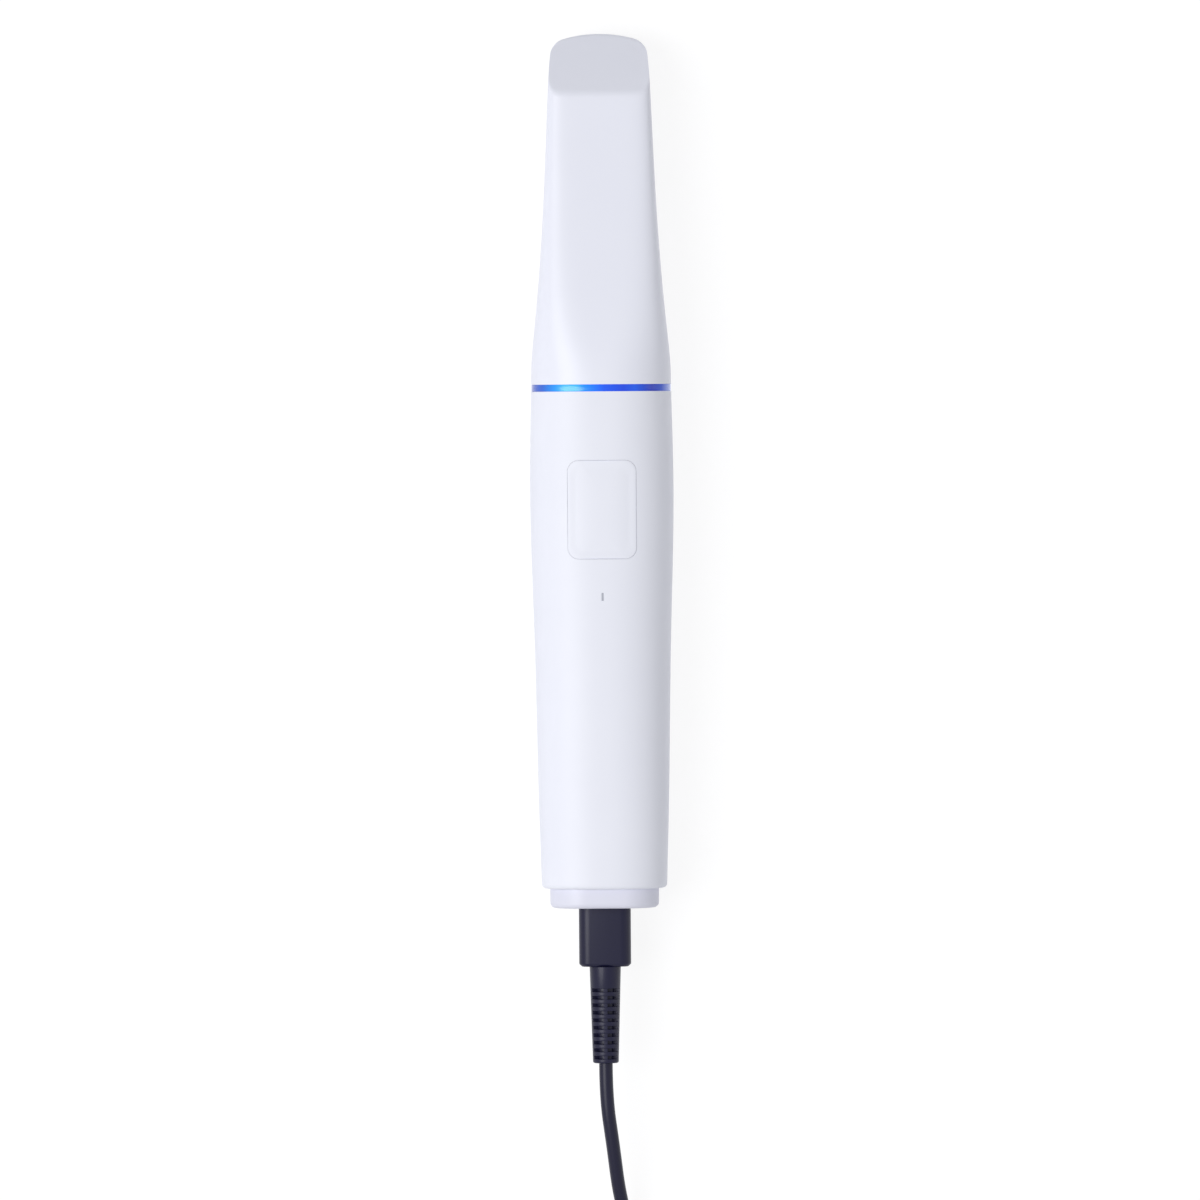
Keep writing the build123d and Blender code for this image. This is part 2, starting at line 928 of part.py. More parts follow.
switch_plunger = round_bar(0, button_along, plunger_bottom, plunger_top, plunger_diameter)
switch_plunger.label = "switch_plunger"
export_step(switch_plunger, "parts/switch_plunger.step")

status_led = block(0, status_along, button_board_top, status_length, status_length, status_led_height)
status_led.label = "status_led"
export_step(status_led, "parts/status_led.step")

# Light guide of the status slit, with a foot under the cover
with BuildPart() as status_foot:
    add(
        block(
            0,
            status_along,
            waist_height,
            status_width + 2 * status_flange,
            status_length + 2 * status_flange,
            body_height,
        )
    )
    add(body_form(cover_wall + status_gap), mode=Mode.INTERSECT)
    add(body_form(cover_wall + status_gap + status_flange), mode=Mode.SUBTRACT)

with BuildPart() as status_window:
    guide_seat = button_board_top + status_led_height
    add(block(0, status_along, guide_seat, status_width, status_length, body_height))
    add(body_outer, mode=Mode.INTERSECT)
    add(status_foot.part)
status_window.part.label = "status_window"
export_step(status_window.part, "parts/status_window.step")

# Main board with its chips, the heat spreader on the processor and the ribbon to the projector
with BuildPart() as main_board:
    add(block(0, board_middle, board_height, board_width, board_long, board_thickness))
    fillet(main_board.edges().filter_by(Axis.Z), board_thickness)
    for seat in board_seats:
        add(
            round_bar(
                seat.origin.X,
                seat.origin.Y,
                board_height,
                board_top,
                screw_diameter + 2 * screw_gap,
            ),
            mode=Mode.SUBTRACT,
        )
main_board.part.label = "main_board"
export_step(main_board.part, "parts/main_board.step")

board_screws = screw_set(board_seats, small_screw_length)
board_screws.label = "board_screws"
export_step(board_screws, "parts/board_screws.step")

processor_along = main_board_front - board_long * processor_share
processor = block(0, processor_along, board_top, processor_width, processor_width, processor_thickness)
processor.label = "processor"
export_step(processor, "parts/processor.step")

memory_along = main_board_rear + board_long * memory_share
memory = block(0, memory_along, board_top, memory_width, memory_length, memory_thickness)
memory.label = "memory"
export_step(memory, "parts/memory.step")

spreader_seat = board_top + processor_thickness
spreader_top = spreader_seat + spreader_thickness
with BuildPart() as heat_spreader:
    add(block(0, processor_along, spreader_seat, spreader_width, spreader_length, spreader_thickness))
    with BuildSketch(Plane.XY.offset(spreader_top)):
        fin_pitch = (spreader_width - fin_thickness) / (fin_count - 1)
        with Locations((0, processor_along)):
            with GridLocations(fin_pitch, 0, fin_count, 1):
                Rectangle(fin_thickness, spreader_length)
    extrude(amount=fin_height)
heat_spreader.part.label = "heat_spreader"
export_step(heat_spreader.part, "parts/heat_spreader.step")

connector_along = main_board_front - connector_length / 2 - board_thickness
board_connector = block(0, connector_along, board_top, connector_width, connector_length, connector_height)
board_connector.label = "board_connector"
export_step(board_connector, "parts/board_connector.step")

module_rear = module_front - projector_length
ribbon_start = connector_along + connector_length / 2
ribbon_low = board_top + connector_height / 2
ribbon_high = module_seat + ribbon_rise
with BuildPart() as flat_ribbon:
    with BuildSketch(Plane.YZ.offset(-ribbon_width / 2)):
        with BuildLine():
            lower = Spline((ribbon_start, ribbon_low), (module_rear, ribbon_high), tangents=((1, 0), (1, 0)))
            upper = Spline(
                (ribbon_start, ribbon_low + ribbon_thickness),
                (module_rear, ribbon_high + ribbon_thickness),
                tangents=((1, 0), (1, 0)),
            )
            Line(lower @ 0, upper @ 0)
            Line(lower @ 1, upper @ 1)
        make_face()
    extrude(amount=ribbon_width)
flat_ribbon.part.label = "flat_ribbon"
export_step(flat_ribbon.part, "parts/flat_ribbon.step")

# Tail cap with its spigot in the covers, the pocket of the cable plug and the socket's hole
pocket_floor = tail_end + plug_sink
spigot_front = body_rear + cover_wall + spigot_extra
with BuildPart() as tail_cap:
    add(rounded_bar(tail_end, body_rear, 0, port_height, cap_width, cap_height, cap_corner))
    fillet(tail_cap.faces().sort_by(Axis.Y)[0].edges(), cap_round)
    add(rounded_bar(body_rear, spigot_front, 0, port_height, spigot_width, spigot_height, spigot_corner))
    add(
        rounded_bar(
            tail_end - overrun,
            pocket_floor,
            0,
            port_height,
            plug_width + 2 * plug_gap,
            plug_height + 2 * plug_gap,
            plug_corner + plug_gap,
        ),
        mode=Mode.SUBTRACT,
    )
    add(
        rounded_bar(
            tail_end,
            spigot_front + overrun,
            0,
            port_height,
            socket_width + 2 * socket_gap,
            socket_height + 2 * socket_gap,
            socket_height / 2,
        ),
        mode=Mode.SUBTRACT,
    )
tail_cap.part.label = "tail_cap"
export_step(tail_cap.part, "parts/tail_cap.step")

socket_front = pocket_floor + socket_length
socket_inner_width = socket_width - 2 * socket_wall_thickness
socket_inner_height = socket_height - 2 * socket_wall_thickness
with BuildPart() as usb_socket:
    add(
        rounded_bar(
            pocket_floor,
            socket_front,
            0,
            port_height,
            socket_width,
            socket_height,
            socket_height / 2 - socket_wall_thickness / 2,
        )
    )
    add(
        rounded_bar(
            pocket_floor - overrun,
            socket_front - socket_wall_thickness,
            0,
            port_height,
            socket_inner_width,
            socket_inner_height,
            socket_inner_height / 2 - socket_wall_thickness / 2,
        ),
        mode=Mode.SUBTRACT,
    )
usb_socket.part.label = "usb_socket"
export_step(usb_socket.part, "parts/usb_socket.step")

tongue_rear = socket_front - socket_wall_thickness - tongue_length
socket_tongue = rounded_bar(
    tongue_rear,
    socket_front - socket_wall_thickness,
    0,
    port_height,
    tongue_width,
    tongue_thickness,
    tongue_thickness / 2 - socket_wall_thickness / 2,
)
socket_tongue.label = "socket_tongue"
export_step(socket_tongue, "parts/socket_tongue.step")

usb_board_rear = spigot_front + socket_gap
usb_board_seat = port_height - socket_height / 2 - usb_board_thickness
usb_board_along = usb_board_rear + usb_board_length / 2
usb_board = block(0, usb_board_along, usb_board_seat, usb_board_width, usb_board_length, usb_board_thickness)
usb_board.label = "usb_board"
export_step(usb_board, "parts/usb_board.step")

link_along = usb_board_rear + usb_board_length - connector_length / 2
board_link = block(0, link_along, board_top, connector_width, connector_length, usb_board_seat - board_top)
board_link.label = "board_link"
export_step(board_link, "parts/board_link.step")

# Cable plug: a moulded body in the tail's pocket, with its metal shell in the socket
plug_front = pocket_floor
plug_rear = tail_end - plug_length
with BuildPart() as plug_body:
    add(rounded_bar(plug_rear, plug_front, 0, port_height, plug_width, plug_height, plug_corner))
    chamfer(plug_body.faces().sort_by(Axis.Y)[0].edges(), plug_chamfer)
plug_body.part.label = "plug_body"
export_step(plug_body.part, "parts/plug_body.step")

plug_shell_width = socket_inner_width - 2 * shell_gap
plug_shell_height = socket_inner_height - 2 * shell_gap
plug_shell_corner = plug_shell_height / 2 - shell_wall / 2
shell_front = plug_front + shell_reach
with BuildPart() as plug_shell:
    add(
        rounded_bar(
            plug_front,
            shell_front,
            0,
            port_height,
            plug_shell_width,
            plug_shell_height,
            plug_shell_corner,
        )
    )
    add(
        rounded_bar(
            plug_front + shell_wall,
            shell_front + overrun,
            0,
            port_height,
            plug_shell_width - 2 * shell_wall,
            plug_shell_height - 2 * shell_wall,
            plug_shell_corner - shell_wall,
        ),
        mode=Mode.SUBTRACT,
    )
plug_shell.part.label = "plug_shell"
export_step(plug_shell.part, "parts/plug_shell.step")

# Strain relief: a collar, then a tapered boot cut into ribs that a spine joins at top and bottom
relief_rear = plug_rear - relief_length
rib_start = plug_rear - collar_length
rib_pitch = (relief_length - collar_length) / rib_count
rib_slot = rib_pitch * (1 - rib_share)


def relief_radius(along):
    share = (plug_rear - along) / relief_length
    return blend(relief_diameter, relief_end_diameter, share) / 2


with BuildPart() as relief_boot:
    with BuildSketch(Plane.YZ):
        Polygon(
            (plug_rear, port_height),
            (plug_rear, port_height + relief_radius(plug_rear)),
            (relief_rear, port_height + relief_radius(relief_rear)),
            (relief_rear, port_height),
            align=None,
        )
    revolve(axis=Axis((0, 0, port_height), (0, 1, 0)))
    fillet(relief_boot.edges().sort_by(Axis.Y)[0], relief_round)


# Slot behind a rib: the square round the boot less its core and its spine
def relief_slot(slot_front):
    core = relief_radius(slot_front - rib_slot / 2) - rib_depth
    with BuildPart() as slot:
        with BuildSketch(across(slot_front)):
            with Locations((0, port_height)):
                Rectangle(relief_diameter, relief_diameter)
                Circle(core, mode=Mode.SUBTRACT)
                Rectangle(spine_width, relief_diameter, mode=Mode.SUBTRACT)
        extrude(amount=rib_slot)
    return slot.part


with BuildPart() as strain_relief:
    add(relief_boot.part)
    for rib in range(rib_count):
        add(relief_slot(rib_start - rib * rib_pitch), mode=Mode.SUBTRACT)
strain_relief.part.label = "strain_relief"
export_step(strain_relief.part, "parts/strain_relief.step")

# Cable: straight out of the relief, down to the surface and into a neat coil tied for storage
lead_points = [
    (0.0, relief_rear, port_height),
    (0.0, -161.0, port_height),
    (1.7, -173.0, 13.6),
    (3.2, -186.0, 9.3),
    (6.2, -197.5, 5.2),
    (10.7, -208.5, 2.5),
    (14.8, -219.0, 1.9),
    (16.0, -230.0, 2.8),
]
end_points = [
    (16.0, -230.0, 13.2),
    (15.7, -240.0, 12.8),
    (14.0, -250.0, 9.4),
    (11.4, -260.0, 5.2),
    (10.4, -270.0, 4.0),
    (10.4, -280.0, 4.0),
]


# Arc radii for the corners of a route: a share of the shorter run over the tangent of half the turn
def corner_radii(points):
    radii = []
    for before, corner, after in zip(points, points[1:], points[2:]):
        arriving = Vector(*corner) - Vector(*before)
        leaving = Vector(*after) - Vector(*corner)
        half_turn = radians(arriving.get_angle(leaving) / 2)
        radii.append(arc_share * min(arriving.length, leaving.length) / tan(half_turn))
    return radii


def cable_tube(points):
    radii = corner_radii(points)
    print("cable radii", [round(radius, 1) for radius in radii])
    heading = Vector(*points[1]) - Vector(*points[0])
    with BuildPart() as tube:
        with BuildLine() as route:
            FilletPolyline(*points, radius=radii)
        with BuildSketch(Plane(origin=points[0], z_dir=heading)):
            Circle(cable_diameter / 2)
        sweep()
    path_length = sum(edge.length for edge in route.edges())
    volume_share = tube.part.volume / (path_length * pi * cable_diameter**2 / 4)
    print("cable length", round(path_length, 1), "volume share", round(volume_share, 4))
    return tube.part


cable_lead = cable_tube(lead_points)
cable_lead.label = "cable_lead"
export_step(cable_lead, "parts/cable_lead.step")

cable_end = cable_tube(end_points)
cable_end.label = "cable_end"
export_step(cable_end, "parts/cable_end.step")

# Coil: the outer form of its turns, three across and four high, beside the end of the lead
coil_width = coil_columns * cable_diameter
coil_height = coil_rows * cable_diameter
coil_side = lead_points[-1][0] - coil_radius - coil_width / 2 + cable_diameter / 2
coil_along = lead_points[-1][1]
coil_base = tie_thickness + tie_gap
coil_middle = coil_base + coil_height / 2
with BuildPart() as cable_coil:
    with BuildSketch(Plane(origin=(coil_side, coil_along, 0), x_dir=(1, 0, 0), z_dir=(0, -1, 0))):
        with Locations((coil_radius, coil_middle)):
            RectangleRounded(coil_width, coil_height, coil_corner)
    revolve(axis=Axis((coil_side, coil_along, 0), (0, 0, 1)))
cable_coil.part.label = "cable_coil"
export_step(cable_coil.part, "parts/cable_coil.step")

# Tie round the coil on the side away from the plug
tie_inside = sqrt((coil_radius - coil_width / 2) ** 2 - (tie_width / 2) ** 2) - tie_gap
tie_outside = coil_radius + coil_width / 2 + tie_gap
tie_opening = tie_outside - tie_inside
tie_height = coil_height + 2 * tie_gap
with BuildPart() as coil_tie:
    with BuildSketch(across(coil_along + tie_width / 2)):
        with Locations((coil_side - (tie_inside + tie_outside) / 2, coil_middle)):
            RectangleRounded(tie_opening + 2 * tie_thickness, tie_height + 2 * tie_thickness, coil_corner)
            RectangleRounded(tie_opening, tie_height, coil_corner - tie_thickness, mode=Mode.SUBTRACT)
    extrude(amount=tie_width)
coil_tie.part.label = "coil_tie"
export_step(coil_tie.part, "parts/coil_tie.step")

# USB plug on the far end, beyond the coil on the same surface; its metal shell has the two latch windows
far_side = end_points[-1][0]
far_start = end_points[-1][1]
far_axis = end_points[-1][2]
far_body_front = far_start - far_relief_length
far_body_rear = far_body_front - far_length
with BuildPart() as far_relief:
    with BuildSketch(Plane.YZ.offset(far_side)):
        Polygon(
            (far_start, far_axis),
            (far_start, far_axis + cable_diameter / 2 + far_relief_taper / 2),
            (far_body_front, far_axis + far_relief_diameter / 2),
            (far_body_front, far_axis),
            align=None,
        )
    revolve(axis=Axis((far_side, 0, far_axis), (0, 1, 0)))
far_relief.part.label = "far_relief"
export_step(far_relief.part, "parts/far_relief.step")

with BuildPart() as far_body:
    add(rounded_bar(far_body_rear, far_body_front, far_side, far_axis, far_width, far_height, far_corner))
    fillet(far_body.faces().sort_by(Axis.Y)[-1].edges(), far_edge)
    chamfer(far_body.faces().sort_by(Axis.Y)[0].edges(), plug_chamfer)
far_body.part.label = "far_body"
export_step(far_body.part, "parts/far_body.step")

far_shell_rear = far_body_rear - far_shell_length
with BuildPart() as far_shell:
    with BuildSketch(across(far_body_rear)):
        with Locations((far_side, far_axis)):
            Rectangle(far_shell_width, far_shell_height)
    extrude(amount=far_shell_length)
    with BuildSketch(across(far_body_rear - far_shell_wall)):
        with Locations((far_side, far_axis)):
            Rectangle(far_shell_width - 2 * far_shell_wall, far_shell_height - 2 * far_shell_wall)
    extrude(amount=far_shell_length, mode=Mode.SUBTRACT)
    with BuildSketch(Plane.XY):
        with Locations((far_side, far_shell_rear + far_window_setback)):
            with GridLocations(far_window_spread, 0, 2, 1):
                Rectangle(far_window, far_window)
    extrude(amount=far_height, mode=Mode.SUBTRACT)
far_shell.part.label = "far_shell"
export_step(far_shell.part, "parts/far_shell.step")

far_insert_top = far_axis + far_shell_height / 2 - far_shell_wall
far_insert = block(
    far_side,
    far_body_rear - far_shell_length / 2,
    far_insert_top - far_insert_thickness,
    far_shell_width - 2 * far_shell_wall,
    far_shell_length - 2 * far_shell_wall,
    far_insert_thickness,
)
far_insert.label = "far_insert"
export_step(far_insert, "parts/far_insert.step")
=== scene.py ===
import bmesh
import bpy
import json
from math import asin, copysign, cos, pi, radians, sin, sqrt
from mathutils import Matrix, Vector


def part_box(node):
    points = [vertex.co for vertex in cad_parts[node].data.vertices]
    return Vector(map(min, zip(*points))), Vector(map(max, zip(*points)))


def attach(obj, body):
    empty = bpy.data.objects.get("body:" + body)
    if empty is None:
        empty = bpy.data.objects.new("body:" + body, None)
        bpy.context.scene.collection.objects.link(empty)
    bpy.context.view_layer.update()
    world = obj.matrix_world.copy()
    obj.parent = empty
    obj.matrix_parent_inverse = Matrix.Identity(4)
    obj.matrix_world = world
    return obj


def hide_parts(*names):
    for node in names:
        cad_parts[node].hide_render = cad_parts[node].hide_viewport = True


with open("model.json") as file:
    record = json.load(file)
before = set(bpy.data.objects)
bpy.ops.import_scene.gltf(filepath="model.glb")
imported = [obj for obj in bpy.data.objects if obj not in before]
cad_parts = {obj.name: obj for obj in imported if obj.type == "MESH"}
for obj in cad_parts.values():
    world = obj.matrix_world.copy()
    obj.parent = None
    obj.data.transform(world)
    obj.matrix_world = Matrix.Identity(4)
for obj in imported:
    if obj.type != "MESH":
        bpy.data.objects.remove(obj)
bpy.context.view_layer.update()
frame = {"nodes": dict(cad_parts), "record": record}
scene = bpy.context.scene
mm = 0.001
print("frame loaded")

# Camera: looks down on the back of the scanner, as the photograph sees it
viewSettings = {
    "frameWidth": 307.2 * mm,  # what the photograph's 1200 pixels span at the widest line
    "distance": 3.0, "sensor": 36.0, "clipEnd": 20.0,
    "pitch": radians(1.0),  # leans from the nose towards the tail
    "roll": radians(-0.41),
    "target": Vector((-0.67, -33.2, 16.0)) * mm,
}


def makeCamera():
    data = bpy.data.cameras.new("viewCamera")
    data.sensor_width = viewSettings["sensor"]
    data.lens = viewSettings["sensor"] * viewSettings["distance"] / viewSettings["frameWidth"]
    data.clip_end = viewSettings["clipEnd"]
    camera = bpy.data.objects.new("viewCamera", data)
    scene.collection.objects.link(camera)
    tilt = Matrix.Rotation(-viewSettings["pitch"], 4, "X")
    turn = Matrix.Rotation(viewSettings["roll"], 4, "Z")
    back = Matrix.Translation((0, 0, viewSettings["distance"]))
    camera.matrix_world = Matrix.Translation(viewSettings["target"]) @ tilt @ turn @ back
    scene.camera = camera


makeCamera()


# Colours are written as sRGB and turned to linear here
def paint(hexColour):
    parts = [int(hexColour[i:i + 2], 16) / 255 for i in (1, 3, 5)]
    linear = [part / 12.92 if part <= 0.04045 else ((part + 0.055) / 1.055) ** 2.4 for part in parts]
    return (*linear, 1)


# Adds a node: capitals and numbers name its sockets, small letters its own settings
def addNode(tree, kind, settings=None, links=None):
    node = tree.nodes.new(kind)
    for name, value in (settings or {}).items():
        if isinstance(name, int) or name[0].isupper():
            node.inputs[name].default_value = value
        else:
            setattr(node, name, value)
    for name, source in (links or {}).items():
        tree.links.new(source, node.inputs[name])
    return node


def newMaterial(name):
    material = bpy.data.materials.new(name)
    material.use_nodes = True
    tree = material.node_tree
    tree.nodes.clear()
    shader = addNode(tree, "ShaderNodeBsdfPrincipled")
    addNode(tree, "ShaderNodeOutputMaterial", {}, {"Surface": shader.outputs["BSDF"]})
    place = addNode(tree, "ShaderNodeTexCoord").outputs["Object"]
    return material, tree, shader, place


def addNoise(tree, place, size, detail=2.0):
    noise = addNode(tree, "ShaderNodeTexNoise", {"Scale": 1 / size, "Detail": detail}, {"Vector": place})
    return noise.outputs["Fac"]


# Colour, gloss and fine relief of a surface, each led by a pattern
def addTone(tree, shader, pattern, near, far):
    tone = addNode(tree, "ShaderNodeMix", {"data_type": "RGBA", 6: paint(near), 7: paint(far)}, {0: pattern})
    tree.links.new(tone.outputs[2], shader.inputs["Base Color"])


def addGloss(tree, shader, pattern, low, high):
    gloss = addNode(tree, "ShaderNodeMapRange", {"To Min": low, "To Max": high}, {"Value": pattern})
    tree.links.new(gloss.outputs[0], shader.inputs["Roughness"])


def addBump(tree, shader, pattern, strength, depth):
    bump = addNode(tree, "ShaderNodeBump", {"Strength": strength, "Distance": depth}, {"Height": pattern})
    tree.links.new(bump.outputs[0], shader.inputs["Normal"])


# Lamps and floor: a broad soft light from above on the left, a weak one from the right
lightSettings = {
    "key": {"place": (-0.83, -0.17, 1.42), "size": 1.2, "power": 17.0},
    "rim": {"place": (1.3, 0.1, 0.35), "size": 0.8, "power": 0.8},
    "world": 0.44, "floorSize": 3.0,
    "floor": "#f1f2f5",
    "floorSeen": "#78787a",  # the floor's own share of what is seen, which holds the shadow
    "floorGlow": 0.86,  # the rest is this glow, so that the floor reads as white
}


def makeLight(name, settings):
    data = bpy.data.lights.new(name, "AREA")
    data.shape = "DISK"
    data.size = settings["size"]
    data.energy = settings["power"]
    lamp = bpy.data.objects.new(name, data)
    scene.collection.objects.link(lamp)
    lamp.location = settings["place"]
    lamp.rotation_euler = (-Vector(settings["place"])).to_track_quat("-Z", "Y").to_euler()


# One for rays that show the backdrop itself: to the camera, in reflections and through glass
def directlySeen(tree):
    rays = addNode(tree, "ShaderNodeLightPath")
    mirrored = addNode(tree, "ShaderNodeMath", {"operation": "MAXIMUM"},
                       {0: rays.outputs["Is Glossy Ray"], 1: rays.outputs["Is Transmission Ray"]})
    seen = addNode(tree, "ShaderNodeMath", {"operation": "MAXIMUM"},
                   {0: rays.outputs["Is Camera Ray"], 1: mirrored.outputs[0]})
    return seen.outputs[0]


def makeWorld():
    world = bpy.data.worlds.new("studio")
    world.use_nodes = True
    tree = world.node_tree
    tree.nodes.clear()
    strength = addNode(tree, "ShaderNodeMapRange", {"To Min": lightSettings["world"], "To Max": 1.0},
                       {"Value": directlySeen(tree)})
    sky = addNode(tree, "ShaderNodeBackground", {"Color": (1, 1, 1, 1)}, {"Strength": strength.outputs[0]})
    addNode(tree, "ShaderNodeOutputWorld", {}, {"Surface": sky.outputs[0]})
    scene.world = world


def makeFloor():
    bm = bmesh.new()
    bmesh.ops.create_grid(bm, x_segments=1, y_segments=1, size=lightSettings["floorSize"])
    mesh = bpy.data.meshes.new("floor")
    bm.to_mesh(mesh)
    bm.free()
    floor = bpy.data.objects.new("floor", mesh)
    scene.collection.objects.link(floor)
    material, tree, shader, place = newMaterial("matt paper")
    seen = directlySeen(tree)
    addTone(tree, shader, seen, lightSettings["floor"], lightSettings["floorSeen"])
    shader.inputs["Roughness"].default_value = 0.9
    shader.inputs["Specular IOR Level"].default_value = 0.1
    glow = addNode(tree, "ShaderNodeMath", {"operation": "MULTIPLY", 1: lightSettings["floorGlow"]},
                   {0: seen})
    shader.inputs["Emission Color"].default_value = (1, 1, 1, 1)
    tree.links.new(glow.outputs[0], shader.inputs["Emission Strength"])
    mesh.materials.append(material)


makeLight("keyLight", lightSettings["key"])
makeLight("rimLight", lightSettings["rim"])
makeWorld()
makeFloor()
scene.view_settings.view_transform = "Standard"
print("camera, lamps and floor made")


plasticSettings = {"cloudSize": 22 * mm, "cloudDetail": 3.0, "glossSpread": 0.05, "grainStrength": 0.35,
                   "index": 1.53, "coatRoughness": 0.12}


# Satin moulded plastic: fine spark-eroded texture, faint clouding of colour and gloss
def satinPlastic(name, hexColour, shadeHex, roughness, grainMm, grainDepth, coat=0.0, specular=0.5):
    material, tree, shader, place = newMaterial(name)
    settings = plasticSettings
    spread = settings["glossSpread"]
    cloud = addNoise(tree, place, settings["cloudSize"], settings["cloudDetail"])
    addTone(tree, shader, cloud, hexColour, shadeHex)
    addGloss(tree, shader, cloud, roughness - spread, roughness + spread)
    addBump(tree, shader, addNoise(tree, place, grainMm * mm), settings["grainStrength"], grainDepth * mm)
    shader.inputs["IOR"].default_value = settings["index"]
    shader.inputs["Specular IOR Level"].default_value = specular
    shader.inputs["Coat Weight"].default_value = coat
    shader.inputs["Coat Roughness"].default_value = settings["coatRoughness"]
    return material


metalSettings = {"detail": 4.0, "glossier": 0.08, "duller": 0.1, "lineStrength": 0.25,
                 "lineDepth": 0.02 * mm}


# Metal: fine machining lines across one axis, and a little uneven polish
def workedMetal(name, hexColour, roughness, lineMm, stretch):
    material, tree, shader, place = newMaterial(name)
    stretched = addNode(tree, "ShaderNodeMapping", {"Scale": stretch}, {"Vector": place})
    settings = metalSettings
    lines = addNoise(tree, stretched.outputs[0], lineMm * mm, settings["detail"])
    addGloss(tree, shader, lines, roughness - settings["glossier"], roughness + settings["duller"])
    addBump(tree, shader, lines, settings["lineStrength"], settings["lineDepth"])
    shader.inputs["Base Color"].default_value = paint(hexColour)
    shader.inputs["Metallic"].default_value = 1.0
    return material


# Light guide of clear acrylic whose colour across X is painted light: a painted highlight in cyan over the
# left, painted shade in navy to the right and a pale painted reflection at the right end
def acrylicPaintedLight():
    material, tree, shader, place = newMaterial("light guide acrylic, blue with painted highlight and shade")
    split = addNode(tree, "ShaderNodeSeparateXYZ", {}, {"Vector": place})
    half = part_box("light_ring")[1].x
    across = addNode(tree, "ShaderNodeMapRange", {"From Min": -half, "From Max": half},
                     {"Value": split.outputs["X"]})
    ramp = addNode(tree, "ShaderNodeValToRGB", {}, {"Fac": across.outputs[0]})
    # Painted light across the ring: cyan painted highlight on the left, navy painted shade to the right,
    # pale painted reflection at the end
    paintedLightShares = ((0.00, "#123a94"), (0.08, "#1050b8"), (0.17, "#1e84da"), (0.24, "#3aa9de"),
                    (0.32, "#30a4e8"), (0.38, "#007eee"), (0.52, "#004cd6"), (0.66, "#003ac6"),
                    (0.74, "#004ccc"), (0.86, "#00249e"), (0.93, "#1240b0"), (1.00, "#6c80c0"))
    ramp.color_ramp.elements.remove(ramp.color_ramp.elements[1])
    for index, (share, hexColour) in enumerate(paintedLightShares):
        element = ramp.color_ramp.elements[0] if index == 0 else ramp.color_ramp.elements.new(share)
        element.position = share
        element.color = paint(hexColour)
    tree.links.new(ramp.outputs[0], shader.inputs["Base Color"])
    # The painted highlight and shade are also given off as a faint glow
    tree.links.new(ramp.outputs[0], shader.inputs["Emission Color"])
    shader.inputs["Emission Strength"].default_value = 0.4
    shader.inputs["Roughness"].default_value = 0.18
    shader.inputs["IOR"].default_value = 1.49
    addBump(tree, shader, addNoise(tree, place, 1.5 * mm), 0.2, 0.02 * mm)
    return material


# Circuit board: green solder mask with copper tracks under it as a fine block pattern
def solderMask():
    material, tree, shader, place = newMaterial("glass laminate, green solder mask")
    tracks = addNode(tree, "ShaderNodeTexBrick",
                     {"Scale": 1 / (3.0 * mm), "Mortar Size": 0.03, "Color1": paint("#0f4a2a"),
                      "Color2": paint("#12553a"), "Mortar": paint("#2b7a4c")}, {"Vector": place})
    tree.links.new(tracks.outputs["Color"], shader.inputs["Base Color"])
    addBump(tree, shader, tracks.outputs["Fac"], 0.3, 0.04 * mm)
    shader.inputs["Roughness"].default_value = 0.35
    return material


# Coated optical glass: clear with a faint violet sheen from its coating
def coatedGlass():
    material, tree, shader, place = newMaterial("borosilicate glass, coated")
    shader.inputs["Transmission Weight"].default_value = 0.9
    shader.inputs["IOR"].default_value = 1.52
    cloud = addNoise(tree, place, 9 * mm)
    addTone(tree, shader, cloud, "#e9eef6", "#d9dcf2")
    addGloss(tree, shader, cloud, 0.02, 0.06)
    return material


# Front-silvered mirror: near-perfect reflection with the faintest haze
def silveredGlass():
    material, tree, shader, place = newMaterial("front-silvered glass")
    addGloss(tree, shader, addNoise(tree, place, 5 * mm, 4.0), 0.01, 0.05)
    shader.inputs["Base Color"].default_value = paint("#e6eaec")
    shader.inputs["Metallic"].default_value = 1.0
    return material


# Woven hook-and-loop strap: crossed threads about 0.8 mm apart
def wovenStrap():
    material, tree, shader, place = newMaterial("woven nylon strap")
    waves = []
    for axis in ("Y", "Z"):
        wave = addNode(tree, "ShaderNodeTexWave", {"bands_direction": axis, "Scale": 1 / (2.5 * mm)},
                       {"Vector": place})
        waves.append(wave.outputs["Fac"])
    weave = addNode(tree, "ShaderNodeMath", {"operation": "MULTIPLY"}, {0: waves[0], 1: waves[1]})
    addTone(tree, shader, weave.outputs[0], "#141418", "#2e2e34")
    addBump(tree, shader, weave.outputs[0], 0.6, 0.2 * mm)
    shader.inputs["Roughness"].default_value = 0.85
    shader.inputs["Sheen Weight"].default_value = 0.3
    return material


